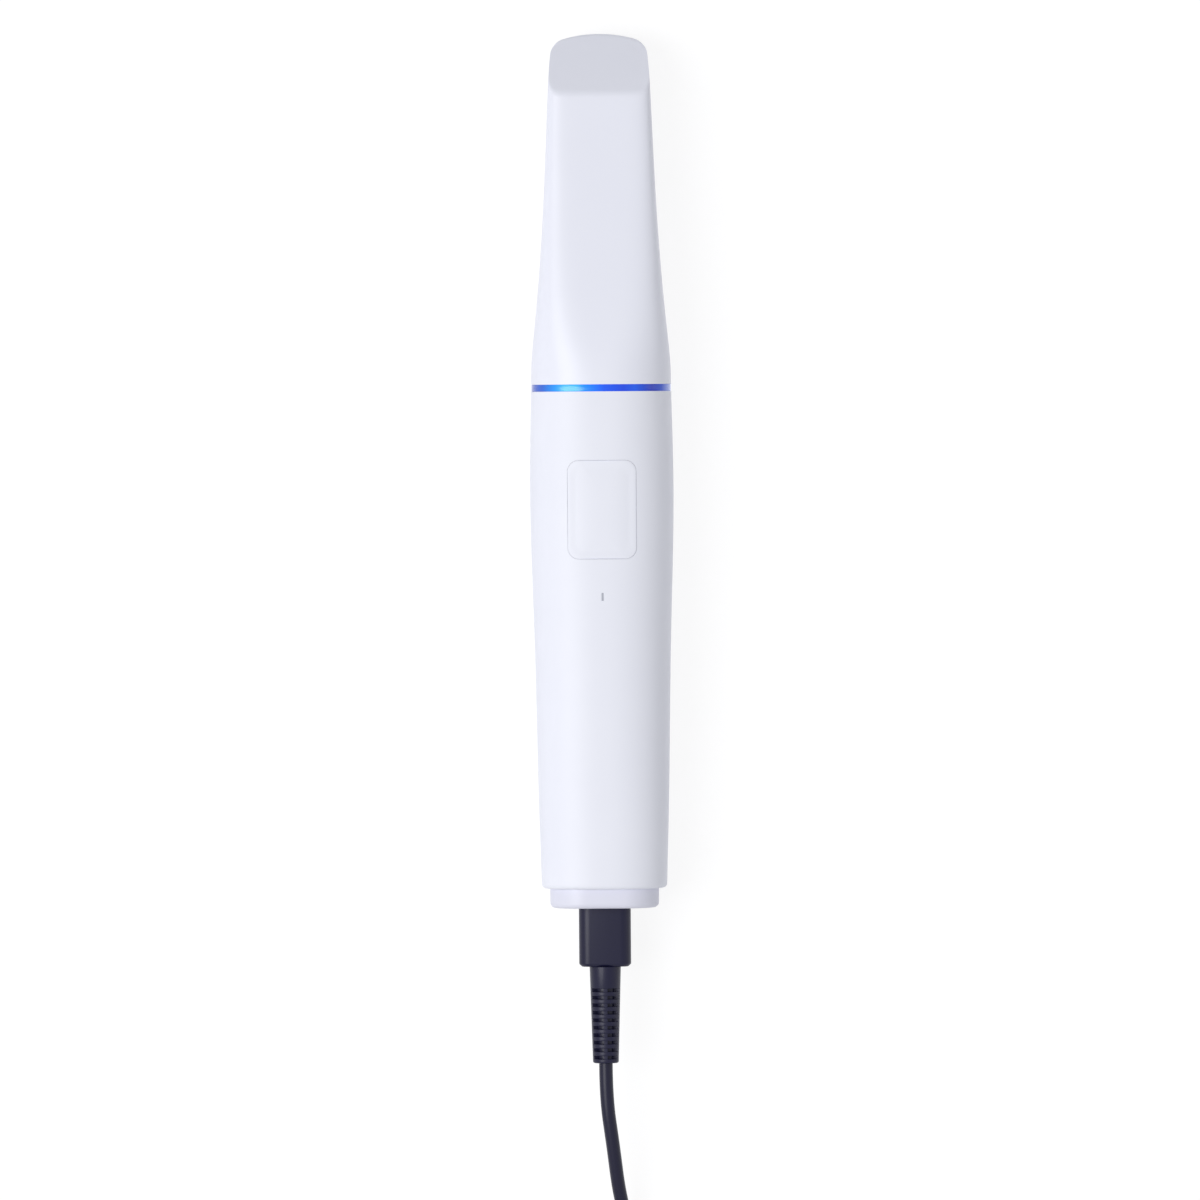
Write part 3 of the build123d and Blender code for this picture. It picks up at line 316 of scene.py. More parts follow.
finishes = {
    "white_abs": satinPlastic("ABS, satin white", "#eceef8", "#e8eaf5", 0.50, 0.35, 0.012, 0.0, 0.42),
    "cap_abs": satinPlastic("ABS, satin pale grey", "#dfe0ee", "#dadbea", 0.46, 0.35, 0.012),
    "tip_polymer": satinPlastic("polysulfone, heat-proof white", "#ebedf8", "#e7e9f5", 0.40, 0.4, 0.010),
    # The ring's blue carries a painted highlight, painted shade and a painted reflection across its width
    "ring_diffuser": acrylicPaintedLight(),
    "mirror_glass": silveredGlass(),
    "optical_glass": coatedGlass(),
    "black_anodised": workedMetal("aluminium, anodised black", "#17171a", 0.5, 0.3, (1, 6, 1)),
    "milled_aluminium": workedMetal("aluminium, milled", "#c3c5c9", 0.38, 0.25, (5, 1, 1)),
    "seal_silicone": satinPlastic("silicone, moulded", "#232326", "#2a2a2e", 0.6, 0.5, 0.01),
    "screw_steel": workedMetal("steel, zinc plated", "#b9bbbf", 0.3, 0.2, (1, 1, 4)),
    "contact_steel": workedMetal("steel, nickel plated", "#c9cace", 0.24, 0.3, (1, 5, 1)),
    "module_black": satinPlastic("glass-filled nylon, black", "#1b1b1e", "#242428", 0.55, 0.4, 0.03),
    "board_laminate": solderMask(),
    "chip_epoxy": satinPlastic("epoxy, black", "#1d1d20", "#252528", 0.6, 0.3, 0.02),
    "led_package": satinPlastic("polyamide, white", "#e8e8e2", "#dedfd8", 0.45, 0.3, 0.01),
    "smoked_window": satinPlastic("acrylic, smoked grey", "#b3b7c4", "#abafbd", 0.2, 0.5, 0.004, 0.5),
    "ribbon_film": satinPlastic("polyimide film, amber", "#b0701f", "#c07c26", 0.3, 0.6, 0.01, 0.3),
    "plug_tpe": satinPlastic("elastomer, satin black", "#12122d", "#161634", 0.36, 0.3, 0.03, 0.0, 0.26),
    "cable_pvc": satinPlastic("soft vinyl jacket, black", "#101029", "#15152f", 0.36, 0.5, 0.03, 0.0, 0.26),
    "tie_strap": wovenStrap(),
}
print("finishes made")

# Cable: the route of the CAD lead, the turns of the coil and the run to the far plug, in metres
cableSettings = {
    "diameter": 3.5 * mm, "length": 1.717, "coilRadius": 21.0 * mm, "columns": 3, "rows": 4,
    "turnSteps": 16,
    "moveShare": 0.3,  # part of each turn in which the cable moves over to its next place
    "settling": 0.1 * mm,  # how far the lowest turn lies under the lead's end
    "order": 3, "smoothness": 6,
    "leadPoints": [(0.0, -0.1518, 0.016), (0.0, -0.161, 0.016), (0.0017, -0.173, 0.0136),
                   (0.0032, -0.186, 0.0093), (0.0062, -0.1975, 0.0052), (0.0107, -0.2085, 0.0025),
                   (0.0148, -0.219, 0.0019), (0.016, -0.23, 0.0028)],
    "endPoints": [(0.016, -0.23, 0.0132), (0.0157, -0.24, 0.0128), (0.014, -0.25, 0.0094),
                  (0.0114, -0.26, 0.0052), (0.0104, -0.27, 0.004), (0.0104, -0.28, 0.004)],
}


def coilPoints():
    width = cableSettings["diameter"]
    columns = cableSettings["columns"]
    start = Vector(cableSettings["leadPoints"][-1])
    seats = []  # radius and height of each turn, in and out, row upon row
    for row in range(cableSettings["rows"]):
        order = range(columns) if row % 2 else range(columns - 1, -1, -1)
        for column in order:
            radius = cableSettings["coilRadius"] + (column - (columns - 1) / 2) * width
            seats.append((radius, start.z - cableSettings["settling"] + row * width))
    steps = cableSettings["turnSteps"]
    middle = start - Vector((seats[0][0], 0, 0))
    points = []
    for turn, (radius, height) in enumerate(seats):
        nextRadius, nextHeight = seats[min(turn + 1, len(seats) - 1)]
        for step in range(steps):
            if turn == 0 and step == 0:
                continue
            share = max(0, (step / steps - 1 + cableSettings["moveShare"]) / cableSettings["moveShare"])
            reach = (radius + (nextRadius - radius) * share) / sqrt(cos(pi / steps))
            angle = -2 * pi * step / steps
            level = height + (nextHeight - height) * share
            points.append((middle.x + reach * cos(angle), middle.y + reach * sin(angle), level))
    return points


def makeCable():
    route = cableSettings["leadPoints"] + coilPoints() + cableSettings["endPoints"]
    curve = bpy.data.curves.new("cable", "CURVE")
    curve.dimensions = "3D"
    spline = curve.splines.new("NURBS")
    spline.points.add(len(route) - 1)
    for point, place in zip(spline.points, route):
        point.co = (*place, 1)
    spline.order_u = cableSettings["order"]
    spline.use_endpoint_u = True
    spline.resolution_u = cableSettings["smoothness"]
    curve.bevel_depth = cableSettings["diameter"] / 2
    curve.bevel_resolution = cableSettings["smoothness"]
    curve.use_fill_caps = True
    piece = bpy.data.objects.new("cable", curve)
    scene.collection.objects.link(piece)
    curve.materials.append(finishes["cable_pvc"])
    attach(piece, "cable")
    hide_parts("cable_lead", "cable_coil", "cable_end")
    return piece


cable = makeCable()
print("cable made")

# Values that all pieces share
arcSteps = 5  # steps in a small quarter round
bevelShare = 0.3  # how far the middle of a softened edge lies in from both its faces
leastCorner = 0.02 * mm
nearby = 0.01 * mm  # points this close to a plane count as lying on it
overrun = 1.0 * mm  # how far hollows and cuts run out past an open end or a face
outside = 0.2  # clear of the whole scanner, where cutting blocks end


def bmeshObject(name, bm):
    bmesh.ops.recalc_face_normals(bm, faces=bm.faces)
    mesh = bpy.data.meshes.new(name)
    bm.to_mesh(mesh)
    bm.free()
    item = bpy.data.objects.new(name, mesh)
    scene.collection.objects.link(item)
    return item


# Turns a bmesh into a piece that rides on its body, with the material of its slot, and hides the nodes it
# stands for
def finishPiece(name, bm, body, slotName, nodes=(), sharp=35):
    piece = bmeshObject(name, bm)
    piece.data.materials.append(finishes[slotName])
    piece.data.shade_smooth()
    piece.data.set_sharp_from_angle(angle=radians(sharp))
    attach(piece, body)
    if nodes:
        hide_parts(*nodes)
    return piece


# Draws a skin through rings of points: the first ring is a circle, the rest are extruded from it
def loftRings(bm, rings, capStart=True, capEnd=True):
    loop = bmesh.ops.create_circle(bm, segments=len(rings[0]), radius=1)["verts"]
    first = loop
    edges = list({edge for vert in loop for edge in vert.link_edges})
    for vert, point in zip(loop, rings[0]):
        vert.co = point
    for ring in rings[1:]:
        made = bmesh.ops.extrude_edge_only(bm, edges=edges)["geom"]
        fresh = {item for item in made if isinstance(item, bmesh.types.BMVert)}
        edges = [item for item in made if isinstance(item, bmesh.types.BMEdge)
                 and item.verts[0] in fresh and item.verts[1] in fresh]
        loop = [next(edge.other_vert(vert) for edge in vert.link_edges if edge.other_vert(vert) in fresh)
                for vert in loop]
        for vert, point in zip(loop, ring):
            vert.co = point
    if capStart:
        bmesh.ops.contextual_create(bm, geom=first)
    if capEnd:
        bmesh.ops.contextual_create(bm, geom=loop)
    return loop


# Closes a bowed end with upright strips from each point of the ring to its mirror image below
def closeBowed(bm, loop):
    for i in range(len(loop) // 2):
        corners = [loop[i], loop[i + 1], loop[-i - 1], loop[-i]]
        bmesh.ops.contextual_create(bm, geom=list(dict.fromkeys(corners)))


# Band that closes on itself: a skin whose two open ends are joined
def bandMesh(loops):
    bm = bmesh.new()
    loftRings(bm, loops, False, False)
    bmesh.ops.bridge_loops(bm, edges=[edge for edge in bm.edges if edge.is_boundary])
    return bm


# Joins or cuts closed bmeshes with the exact solver and gives the outcome back as a bmesh
def carve(bm, tools):
    host = bmeshObject("host", bm)
    others = []
    for operation, tool in tools:
        other = bmeshObject("tool", tool)
        modifier = host.modifiers.new("carve", "BOOLEAN")
        modifier.operation = operation
        modifier.solver = "EXACT"
        modifier.object = other
        others.append(other)
    bpy.context.view_layer.update()
    shape = bpy.data.meshes.new_from_object(host.evaluated_get(bpy.context.evaluated_depsgraph_get()))
    result = bmesh.new()
    result.from_mesh(shape)
    bpy.data.meshes.remove(shape)
    for item in [host] + others:
        bpy.data.objects.remove(item)
    return result


# Rounded rectangle as a list of flat points, corner by corner
def roundedOutline(width, length, corner, steps=8):
    points = []
    for sideX, sideY, start in ((1, 1, 0), (-1, 1, 90), (-1, -1, 180), (1, -1, 270)):
        for step in range(steps + 1):
            angle = radians(start + 90 * step / steps)
            points.append((sideX * (width / 2 - corner) + corner * cos(angle),
                           sideY * (length / 2 - corner) + corner * sin(angle)))
    return points


# Upright prism over a rounded rectangle
def prism(centre, width, length, corner, low, high):
    bm = bmesh.new()
    outline = roundedOutline(width, length, corner)
    loftRings(bm, [[(centre[0] + x, centre[1] + y, level) for x, y in outline] for level in (low, high)])
    return bm


def boxMesh(low, high):
    bm = bmesh.new()
    bmesh.ops.create_cube(bm, size=1)
    bmesh.ops.scale(bm, verts=bm.verts, vec=Vector(high) - Vector(low))
    bmesh.ops.translate(bm, verts=bm.verts, vec=(Vector(high) + Vector(low)) / 2)
    return bm


# Block along Y over a rounded rectangle, from rings of place and growth
def barMesh(centreX, centreZ, width, height, corner, rings, steps=8):
    loops = []
    for y, grow in rings:
        outline = roundedOutline(width + 2 * grow, height + 2 * grow, max(corner + grow, leastCorner), steps)
        loops.append([(centreX + x, y, centreZ + z) for x, z in outline])
    bm = bmesh.new()
    loftRings(bm, loops)
    return bm


def roundedEnd(y, direction, radius):
    turns = [radians(90 * i / arcSteps) for i in range(arcSteps + 1)]
    return [(y - direction * radius * (1 - sin(turn)), -radius * (1 - cos(turn))) for turn in turns]


def mixed(near, far, share):
    return near + (far - near) * share


# Housing and tip: sections as rounded superellipses, in shares of the sizes of grip and nose
housingSettings = {
    "width": 36.7 * mm, "height": 34.2 * mm, "waist": 16.0 * mm, "wall": 2.0 * mm, "power": 2.7,
    "tailRound": 1.0 * mm, "steps": 144, "rings": 90, "insideRings": 40, "seam": 14.5 * mm,
    "seamGap": 0.16 * mm, "lip": 0.9 * mm, "lipReach": 0.8 * mm,
    # place from the ring to the tail, width, back, belly
    "shares": ((0.00, 0.976, 0.977, 0.026), (0.20, 1.000, 1.000, -0.010), (0.50, 0.951, 0.988, -0.014),
               (0.80, 0.911, 0.942, -0.006), (1.00, 0.872, 0.895, 0.041)),
}
tipSettings = {
    "noseWidth": 24.8 * mm, "depth": 18.0 * mm, "windowHeight": 8.2 * mm, "power": 9.0,
    "facetLength": 15.6 * mm, "noseBow": 30.0 * mm, "noseCorner": 2.6 * mm, "edgeSoftness": 1.0 * mm,
    "lipRound": 0.7 * mm, "wall": 1.6 * mm, "socketInset": 2.9 * mm, "socketLength": 23.0 * mm,
    "socketOverlap": 0.2 * mm, "steps": 168, "rings": 64, "insideRings": 24, "socketNoseRings": 12,
    "noseRings": 60, "merging": 0.004 * mm,
    "sideShare": 0.6,  # the facet keeps at least this much of the half width
    "noseShare": 0.80,  # from here the rings lie closer and bend to the nose's bow
    # place from the ring to the nose; what is left of the ring's width, back and belly
    "shares": ((0.00, 1.000, 1.000, 1.000), (0.05, 0.982, 0.990, 0.985), (0.15, 0.840, 0.910, 0.900),
               (0.26, 0.663, 0.770, 0.745), (0.41, 0.471, 0.560, 0.520), (0.60, 0.295, 0.330, 0.260),
               (0.82, 0.140, 0.120, 0.030), (1.00, 0.000, 0.000, 0.000)),
}
ringLow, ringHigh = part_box("light_ring")
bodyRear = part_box("back_cover")[0].y
bodyFront = ringLow.y
ringFront = ringHigh.y
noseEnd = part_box("tip_sleeve")[1].y
tipLength = noseEnd - ringFront
bodyLength = bodyFront - bodyRear


# Natural cubic spline through one column of a table of stations
def splineColumn(rows, column):
    places = [row[0] for row in rows]
    values = [row[column] for row in rows]
    count = len(rows)
    gaps = [places[i + 1] - places[i] for i in range(count - 1)]
    upper = [0.0] * count
    bend = [0.0] * count
    for i in range(1, count - 1):
        rate = 3 * ((values[i + 1] - values[i]) / gaps[i] - (values[i] - values[i - 1]) / gaps[i - 1])
        pivot = 2 * (places[i + 1] - places[i - 1]) - gaps[i - 1] * upper[i - 1]
        upper[i] = gaps[i] / pivot
        bend[i] = (rate - gaps[i - 1] * bend[i - 1]) / pivot
    for i in range(count - 2, -1, -1):
        bend[i] = bend[i] - upper[i] * bend[i + 1]

    def value(place):
        i = max(k for k in range(count - 1) if places[k] <= place or k == 0)
        along = place - places[i]
        slope = (values[i + 1] - values[i]) / gaps[i] - gaps[i] * (bend[i + 1] + 2 * bend[i]) / 3
        curl = (bend[i + 1] - bend[i]) / (3 * gaps[i])
        return values[i] + along * (slope + along * (bend[i] + along * curl))
    return value


bodyCurves = [splineColumn(housingSettings["shares"], column) for column in (1, 2, 3)]
tipCurves = [splineColumn(tipSettings["shares"], column) for column in (1, 2, 3)]


def sectionPoint(angle, half, back, waist, belly, power):
    side, rise = cos(angle), sin(angle)
    reach = back - waist if rise > 0 else waist - belly
    return (copysign(abs(side) ** (2 / power), side) * half,
            waist + copysign(abs(rise) ** (2 / power), rise) * reach)


# Angles that spread the points evenly round a boxy section
def evenAngles(steps, power, fineSteps=2000):
    fine = [2 * pi * i / fineSteps for i in range(fineSteps + 1)]
    spots = [Vector(sectionPoint(angle, 1, 1, 0, -1, power)) for angle in fine]
    lengths = [0.0]
    for i in range(fineSteps):
        lengths.append(lengths[-1] + (spots[i + 1] - spots[i]).length)
    angles, i = [], 0
    for step in range(steps):
        goal = lengths[-1] * step / steps
        while lengths[i + 1] < goal:
            i += 1
        angles.append(mixed(fine[i], fine[i + 1], (goal - lengths[i]) / (lengths[i + 1] - lengths[i])))
    return angles


bodyAngles = evenAngles(housingSettings["steps"], housingSettings["power"])
tipAngles = evenAngles(tipSettings["steps"], tipSettings["power"])


def bodyRing(place, inset, along):
    settings = housingSettings
    width, back, belly = (curve(min(max(place, 0), 1)) for curve in bodyCurves)
    half = settings["width"] * width / 2 - inset
    top = settings["height"] * back - inset
    bottom = settings["height"] * belly + inset
    section = [sectionPoint(angle, half, top, settings["waist"], bottom, settings["power"])
               for angle in bodyAngles]
    return [(x, along, max(z, 0.0)) for x, z in section]


# The body as one closed skin; the outer one has a rounded tail
def bodySkin(inset, roundness, rings):
    length = bodyLength - inset
    straight = length - roundness
    loops = []
    for i in range(rings + 1):
        along = straight * i / rings
        loops.append(bodyRing(along / length, inset, bodyFront - along))
    for i in range(1, arcSteps + 1 if roundness else 1):
        turn = radians(90 * i / arcSteps)
        along = straight + roundness * sin(turn)
        loops.append(bodyRing(along / length, inset + roundness * (1 - cos(turn)), bodyFront - along))
    bm = bmesh.new()
    loftRings(bm, loops)
    return bm


# The hollow of the body, drawn out through its open front
def bodyHollow():
    hollow = bodySkin(housingSettings["wall"], 0, housingSettings["insideRings"])
    for vert in hollow.verts:
        if vert.co.y > bodyFront - nearby:
            vert.co.y = bodyFront + overrun
    return hollow


# Height of the back over a point, for what lies flush in it
def backHeight(x, y):
    settings = housingSettings
    width, back, belly = (curve((bodyFront - y) / bodyLength) for curve in bodyCurves)
    half = settings["width"] * width / 2
    rise = (1 - min(abs(x) / half, 1) ** settings["power"]) ** (1 / settings["power"])
    return mixed(settings["waist"], settings["height"] * back, rise)


buttonSettings = {
    "width": 17.4 * mm, "length": 25.0 * mm, "corner": 2.8 * mm,
    "grow": 0.05 * mm,  # how far its face reaches over the solid's, so that the line is fine
    "gap": 0.04 * mm, "edge": 0.10 * mm, "edgeSteps": 4,
    "dish": 0.22 * mm,  # how deep the finger's place is sunk
    "dishSlope": 2.2 * mm, "thickness": 2.4 * mm, "rings": 26,
    "ringReach": 0.96,  # the innermost ring lies this share of the half width in
    "tightening": 0.25,  # how fast the corners of the rings tighten on the way in
    "fullCorner": 0.99,  # the most of half a side that a corner may take
    "cornerSteps": 10, "sharp": 50,
}
statusSettings = {"width": 0.5 * mm, "length": 2.0 * mm, "corner": 0.08 * mm, "cornerSteps": 3,
                  "gap": 0.02 * mm, "sink": 0.03 * mm}
screwSettings = {"inset": 1.9 * mm, "sinkRadius": 1.95 * mm, "sinkTop": 4.6 * mm, "fullCorner": 0.999}
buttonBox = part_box("scan_button")
buttonY = (buttonBox[0].y + buttonBox[1].y) / 2
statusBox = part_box("status_window")
statusY = (statusBox[0].y + statusBox[1].y) / 2


# The two covers meet at a fine seam, with a lip inside that bridges it
def makeCovers():
    shell = carve(bodySkin(0, housingSettings["tailRound"], housingSettings["rings"]),
                  [("DIFFERENCE", bodyHollow())])
    waist = housingSettings["waist"]
    seam = housingSettings["seam"]
    gap = housingSettings["seamGap"] / 2
    reach = buttonSettings["grow"] + buttonSettings["gap"]
    button = prism((0, buttonY), buttonSettings["width"] + 2 * reach, buttonSettings["length"] + 2 * reach,
                   buttonSettings["corner"] + reach, waist, outside)
    reach = statusSettings["gap"]
    slit = prism((0, statusY), statusSettings["width"] + 2 * reach, statusSettings["length"] + 2 * reach,
                 statusSettings["corner"] + reach, waist, outside)
    above = boxMesh((-outside, -outside, seam + gap), (outside, outside, outside))
    top = carve(shell.copy(), [("INTERSECT", above), ("DIFFERENCE", button), ("DIFFERENCE", slit)])
    finishPiece("backCover", top, "scanner", "white_abs", ["back_cover"])

    cuts = [("INTERSECT", boxMesh((-outside, -outside, -outside), (outside, outside, seam - gap)))]
    low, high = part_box("housing_screws")
    inset, radius = screwSettings["inset"], screwSettings["sinkRadius"]
    for x in (low.x + inset, high.x - inset):
        for y in (low.y + inset, high.y - inset):
            cuts.append(("DIFFERENCE", prism((x, y), 2 * radius, 2 * radius,
                                             radius * screwSettings["fullCorner"], -outside,
                                             screwSettings["sinkTop"])))
    finishPiece("bellyCover", carve(shell, cuts), "scanner", "white_abs", ["belly_cover"])

    reach = housingSettings["lipReach"]
    slab = boxMesh((-outside, -outside, seam - reach), (outside, outside, seam + reach))
    lip = carve(bodySkin(housingSettings["lip"], 0, housingSettings["insideRings"]),
                [("DIFFERENCE", bodyHollow()), ("INTERSECT", slab)])
    finishPiece("coverLip", lip, "scanner", "white_abs")


makeCovers()
print("covers made")


# Button: loops of a rounded rectangle laid on the back, sunk a little in the middle
def makeButton():
    settings = buttonSettings
    grow, edge = settings["grow"], settings["edge"]
    wide, long = settings["width"] + 2 * grow, settings["length"] + 2 * grow
    corner = settings["corner"] + grow

    def layer(inward, rounding, sink):
        return [(x, buttonY + y, backHeight(x, buttonY + y) - sink)
                for x, y in roundedOutline(wide - 2 * inward, long - 2 * inward, rounding,
                                           settings["cornerSteps"])]

    loops = [layer(0, corner, settings["thickness"])]
    for step in range(settings["edgeSteps"] + 1):
        turn = radians(90 * step / settings["edgeSteps"])
        loops.append(layer(edge * (1 - cos(turn)), corner, edge * (1 - sin(turn))))
    for ring in range(1, settings["rings"] + 1):
        inward = mixed(edge, wide / 2 * settings["ringReach"], ring / settings["rings"])
        ease = min(inward / settings["dishSlope"], 1)
        tight = max(corner - inward * settings["tightening"], leastCorner)
        tight = min(tight, (wide / 2 - inward) * settings["fullCorner"])
        loops.append(layer(inward, tight, settings["dish"] * ease * ease * (3 - 2 * ease)))
    bm = bmesh.new()
    loftRings(bm, loops)
    finishPiece("scanButton", bm, "button", "white_abs", ["scan_button"], settings["sharp"])


makeButton()


# Status window: a sliver of smoked acrylic just under the cover's face
def makeStatusWindow():
    settings = statusSettings
    outline = roundedOutline(settings["width"], settings["length"], settings["corner"],
                             settings["cornerSteps"])
    bottom = [(x, statusY + y, statusBox[0].z) for x, y in outline]
    top = [(x, statusY + y, backHeight(x, statusY + y) - settings["sink"]) for x, y in outline]
    bm = bmesh.new()
    loftRings(bm, [bottom, top])
    finishPiece("statusWindow", bm, "scanner", "smoked_window", ["status_window"])


makeStatusWindow()
print("button and status window made")

windowSettings = {
    "width": 16.6 * mm, "length": 14.6 * mm, "corner": 3.4 * mm, "cornerSteps": 10,
    "cutTop": 14.0 * mm,  # where the cut ends, inside the sleeve's hollow
    "setback": 3.2 * mm, "rim": 1.7 * mm, "stand": 0.4 * mm, "round": 0.4 * mm,
}
windowY = noseEnd - windowSettings["setback"] - windowSettings["length"] / 2
facetStart = noseEnd - tipSettings["facetLength"]
ringWidth = housingSettings["width"] * housingSettings["shares"][0][1]
ringBack = housingSettings["height"] * housingSettings["shares"][0][2]
ringBelly = housingSettings["height"] * housingSettings["shares"][0][3]
noseBack = tipSettings["windowHeight"] + tipSettings["depth"]
facetShare = (facetStart - ringFront) / tipLength
lastPlace = tipSettings["shares"][-2][0]
lastBack = tipSettings["shares"][-2][2]
facetBack = mixed(noseBack, ringBack, lastBack * (1 - facetShare) / (1 - lastPlace))


# The lesser of two heights, with a soft change from one to the other
def softLeast(one, other, softness):
    share = min(max(0.5 + 0.5 * (other - one) / softness, 0), 1)
    return mixed(other, one, share) - softness * share * (1 - share)


def bowShareAt(place):
    noseShare = tipSettings["noseShare"]
    return max(0, (place - noseShare) / (1 - noseShare)) ** 2


# Section of the tip, boxier towards the nose, cut to the facet with a soft edge and bowed
def tipRing(place, inset, ahead=0.0):
    settings = tipSettings
    width, back, belly = (curve(place) for curve in tipCurves)
    half = mixed(settings["noseWidth"], ringWidth, width) / 2 - inset
    waist = mixed(settings["windowHeight"] + settings["depth"] / 2, housingSettings["waist"], width)
    top = mixed(noseBack, ringBack, back) - inset
    bottom = mixed(settings["windowHeight"], ringBelly, belly) + inset
    power = mixed(settings["power"], housingSettings["power"], width)
    bowShare = bowShareAt(place)
    bow = settings["noseBow"]
    corner = settings["noseCorner"]
    points = []
    for angle in tipAngles:
        x, z = sectionPoint(angle, half, top, waist, bottom, power)
        beyond = min(max(abs(x) - (half - corner), 0) / corner, 1)
        drop = bow - sqrt(bow * bow - x * x) + corner * (1 - sqrt(1 - beyond * beyond))
        y = ringFront + place * tipLength - drop * bowShare + ahead - inset * bowShare
        facetHeight = facetBack - (y - facetStart) - inset * sqrt(2)
        z = max(softLeast(z, facetHeight, settings["edgeSoftness"]), bottom)
        reach = top - waist if z > waist else waist - bottom
        level = min(abs(z - waist) / reach, 1)
        limit = half * max(1 - level ** power, 0) ** (1 / power)
        x = copysign(min(abs(x), max(limit, half * settings["sideShare"])), x)
        points.append((x, y, z))
    return points


# The tip as one closed skin; the outer one has a rounded lip at the nose
def tipSkin(inset, rings, noseRings, lip=0):
    noseShare = tipSettings["noseShare"]
    end = 1 - lip / tipLength
    places = [noseShare * i / rings for i in range(rings)]
    places += [mixed(noseShare, end, i / noseRings) for i in range(noseRings + 1)]
    loops = [tipRing(place, inset) for place in places]
    for i in range(1, arcSteps + 1 if lip else 1):
        turn = radians(90 * i / arcSteps)
        drawn = lip * (1 - cos(turn))
        loops.append(tipRing(end, inset + drawn, lip * sin(turn) + drawn * bowShareAt(end)))
    bm = bmesh.new()
    closeBowed(bm, loftRings(bm, loops, capEnd=False))
    bmesh.ops.remove_doubles(bm, verts=bm.verts, dist=tipSettings["merging"])
    return bm


# Cuts a hollow off square at a place along the tip and closes it there
def trim(bm, place, **side):
    bmesh.ops.bisect_plane(bm, geom=bm.verts[:] + bm.edges[:] + bm.faces[:], plane_co=(0, place, 0),
                           plane_no=(0, 1, 0), **side)
    bmesh.ops.holes_fill(bm, edges=bm.edges)


# Tip sleeve: a wide socket at the ring, a cavity ahead of it and the scan window's opening
def makeSleeve():
    settings = tipSettings
    window = windowSettings
    socketEnd = ringFront + settings["socketLength"]
    outer = tipSkin(0, settings["rings"], settings["noseRings"], settings["lipRound"])
    cavity = tipSkin(settings["wall"], settings["insideRings"], settings["insideRings"])
    trim(cavity, socketEnd, clear_inner=True)
    socket = tipSkin(settings["socketInset"], settings["insideRings"], settings["socketNoseRings"])
    for vert in socket.verts:
        if vert.co.y < ringFront + nearby:
            vert.co.y = ringFront - overrun
    trim(socket, socketEnd + settings["socketOverlap"], clear_outer=True)
    opening = prism((0, windowY), window["width"], window["length"], window["corner"], -outside,
                    window["cutTop"])
    sleeve = carve(outer, [("DIFFERENCE", cavity), ("DIFFERENCE", socket), ("DIFFERENCE", opening)])
    finishPiece("tipSleeve", sleeve, "tip", "tip_polymer", ["tip_sleeve"])


makeSleeve()
print("sleeve made")


# Frame round the scan window, with softened edges
def makeWindowFrame():
    window = windowSettings
    rim, soft = window["rim"], window["round"]
    middle = soft * bevelShare
    low = tipSettings["windowHeight"] - window["stand"]
    high = tipSettings["windowHeight"] + tipSettings["wall"] + window["stand"]
    loops = []
    for grow, level in ((rim, high), (rim, low + soft), (rim - middle, low + middle), (rim - soft, low),
                        (soft, low), (middle, low + middle), (0, low + soft), (0, high)):
        outline = roundedOutline(window["width"] + 2 * grow, window["length"] + 2 * grow,
                                 window["corner"] + grow, window["cornerSteps"])
        loops.append([(x, windowY + y, level) for x, y in outline])
    finishPiece("windowFrame", bandMesh(loops), "tip", "tip_polymer")


makeWindowFrame()

ringSettings = {"sink": 0.10 * mm, "band": 3.0 * mm, "edge": 0.12 * mm}


# Light ring: a band round the body's first section, with softened outer edges
def makeRing():
    rear, front = bodyFront, ringFront
    outer, inner, edge = ringSettings["sink"], ringSettings["band"], ringSettings["edge"]
    middle = edge * bevelShare
    stations = ((inner, rear), (outer + edge, rear), (outer + middle, rear + middle), (outer, rear + edge),
                (outer, front - edge), (outer + middle, front - middle), (outer + edge, front),
                (inner, front))
    band = bandMesh([bodyRing(0, inset, y) for inset, y in stations])
    finishPiece("lightRing", band, "scanner", "ring_diffuser", ["light_ring"])


makeRing()

capSettings = {
    "width": 27.8 * mm, "height": 24.0 * mm, "corner": 9.0 * mm, "cornerSteps": 12, "round": 1.3 * mm,
    "spigotInset": 3.2 * mm,  # how far in the part inside the housing lies, on each side
    "port": 16.0 * mm,  # height of the middle of the socket's hole
    "holeWidth": 9.5 * mm, "holeHeight": 3.7 * mm, "holeCorner": 1.84 * mm,
}
plugSettings = {
    "width": 13.3 * mm, "height": 8.0 * mm, "corner": 2.8 * mm, "cornerSteps": 10,
    "pocketGap": 0.2 * mm, "chamfer": 0.6 * mm, "soften": 0.25 * mm,
    "lastRun": 0.12 * mm,  # length and depth of the last softened step behind the chamfer
    "lastDrop": 0.15 * mm,
}
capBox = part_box("tail_cap")
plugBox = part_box("plug_body")


# Tail cap: a rounded block with the plug's pocket and the hole of the socket
def makeCap():
    cap, plug = capSettings, plugSettings
    rear, front = capBox[0].y, capBox[1].y
    rings = [(front, -cap["spigotInset"]), (bodyRear, -cap["spigotInset"]), (bodyRear, 0)]
    rings += roundedEnd(rear, -1, cap["round"])
    block = barMesh(0, cap["port"], cap["width"], cap["height"], cap["corner"], rings, cap["cornerSteps"])
    gap = plug["pocketGap"]
    pocket = barMesh(0, cap["port"], plug["width"] + 2 * gap, plug["height"] + 2 * gap,
                     plug["corner"] + gap, [(rear - overrun, 0), (plugBox[1].y, 0)], cap["cornerSteps"])
    hole = barMesh(0, cap["port"], cap["holeWidth"], cap["holeHeight"], cap["holeCorner"],
                   [(rear - overrun, 0), (front + overrun, 0)], cap["cornerSteps"])
    cuts = [("DIFFERENCE", pocket), ("DIFFERENCE", hole)]
    finishPiece("tailCap", carve(block, cuts), "scanner", "cap_abs", ["tail_cap"])


makeCap()


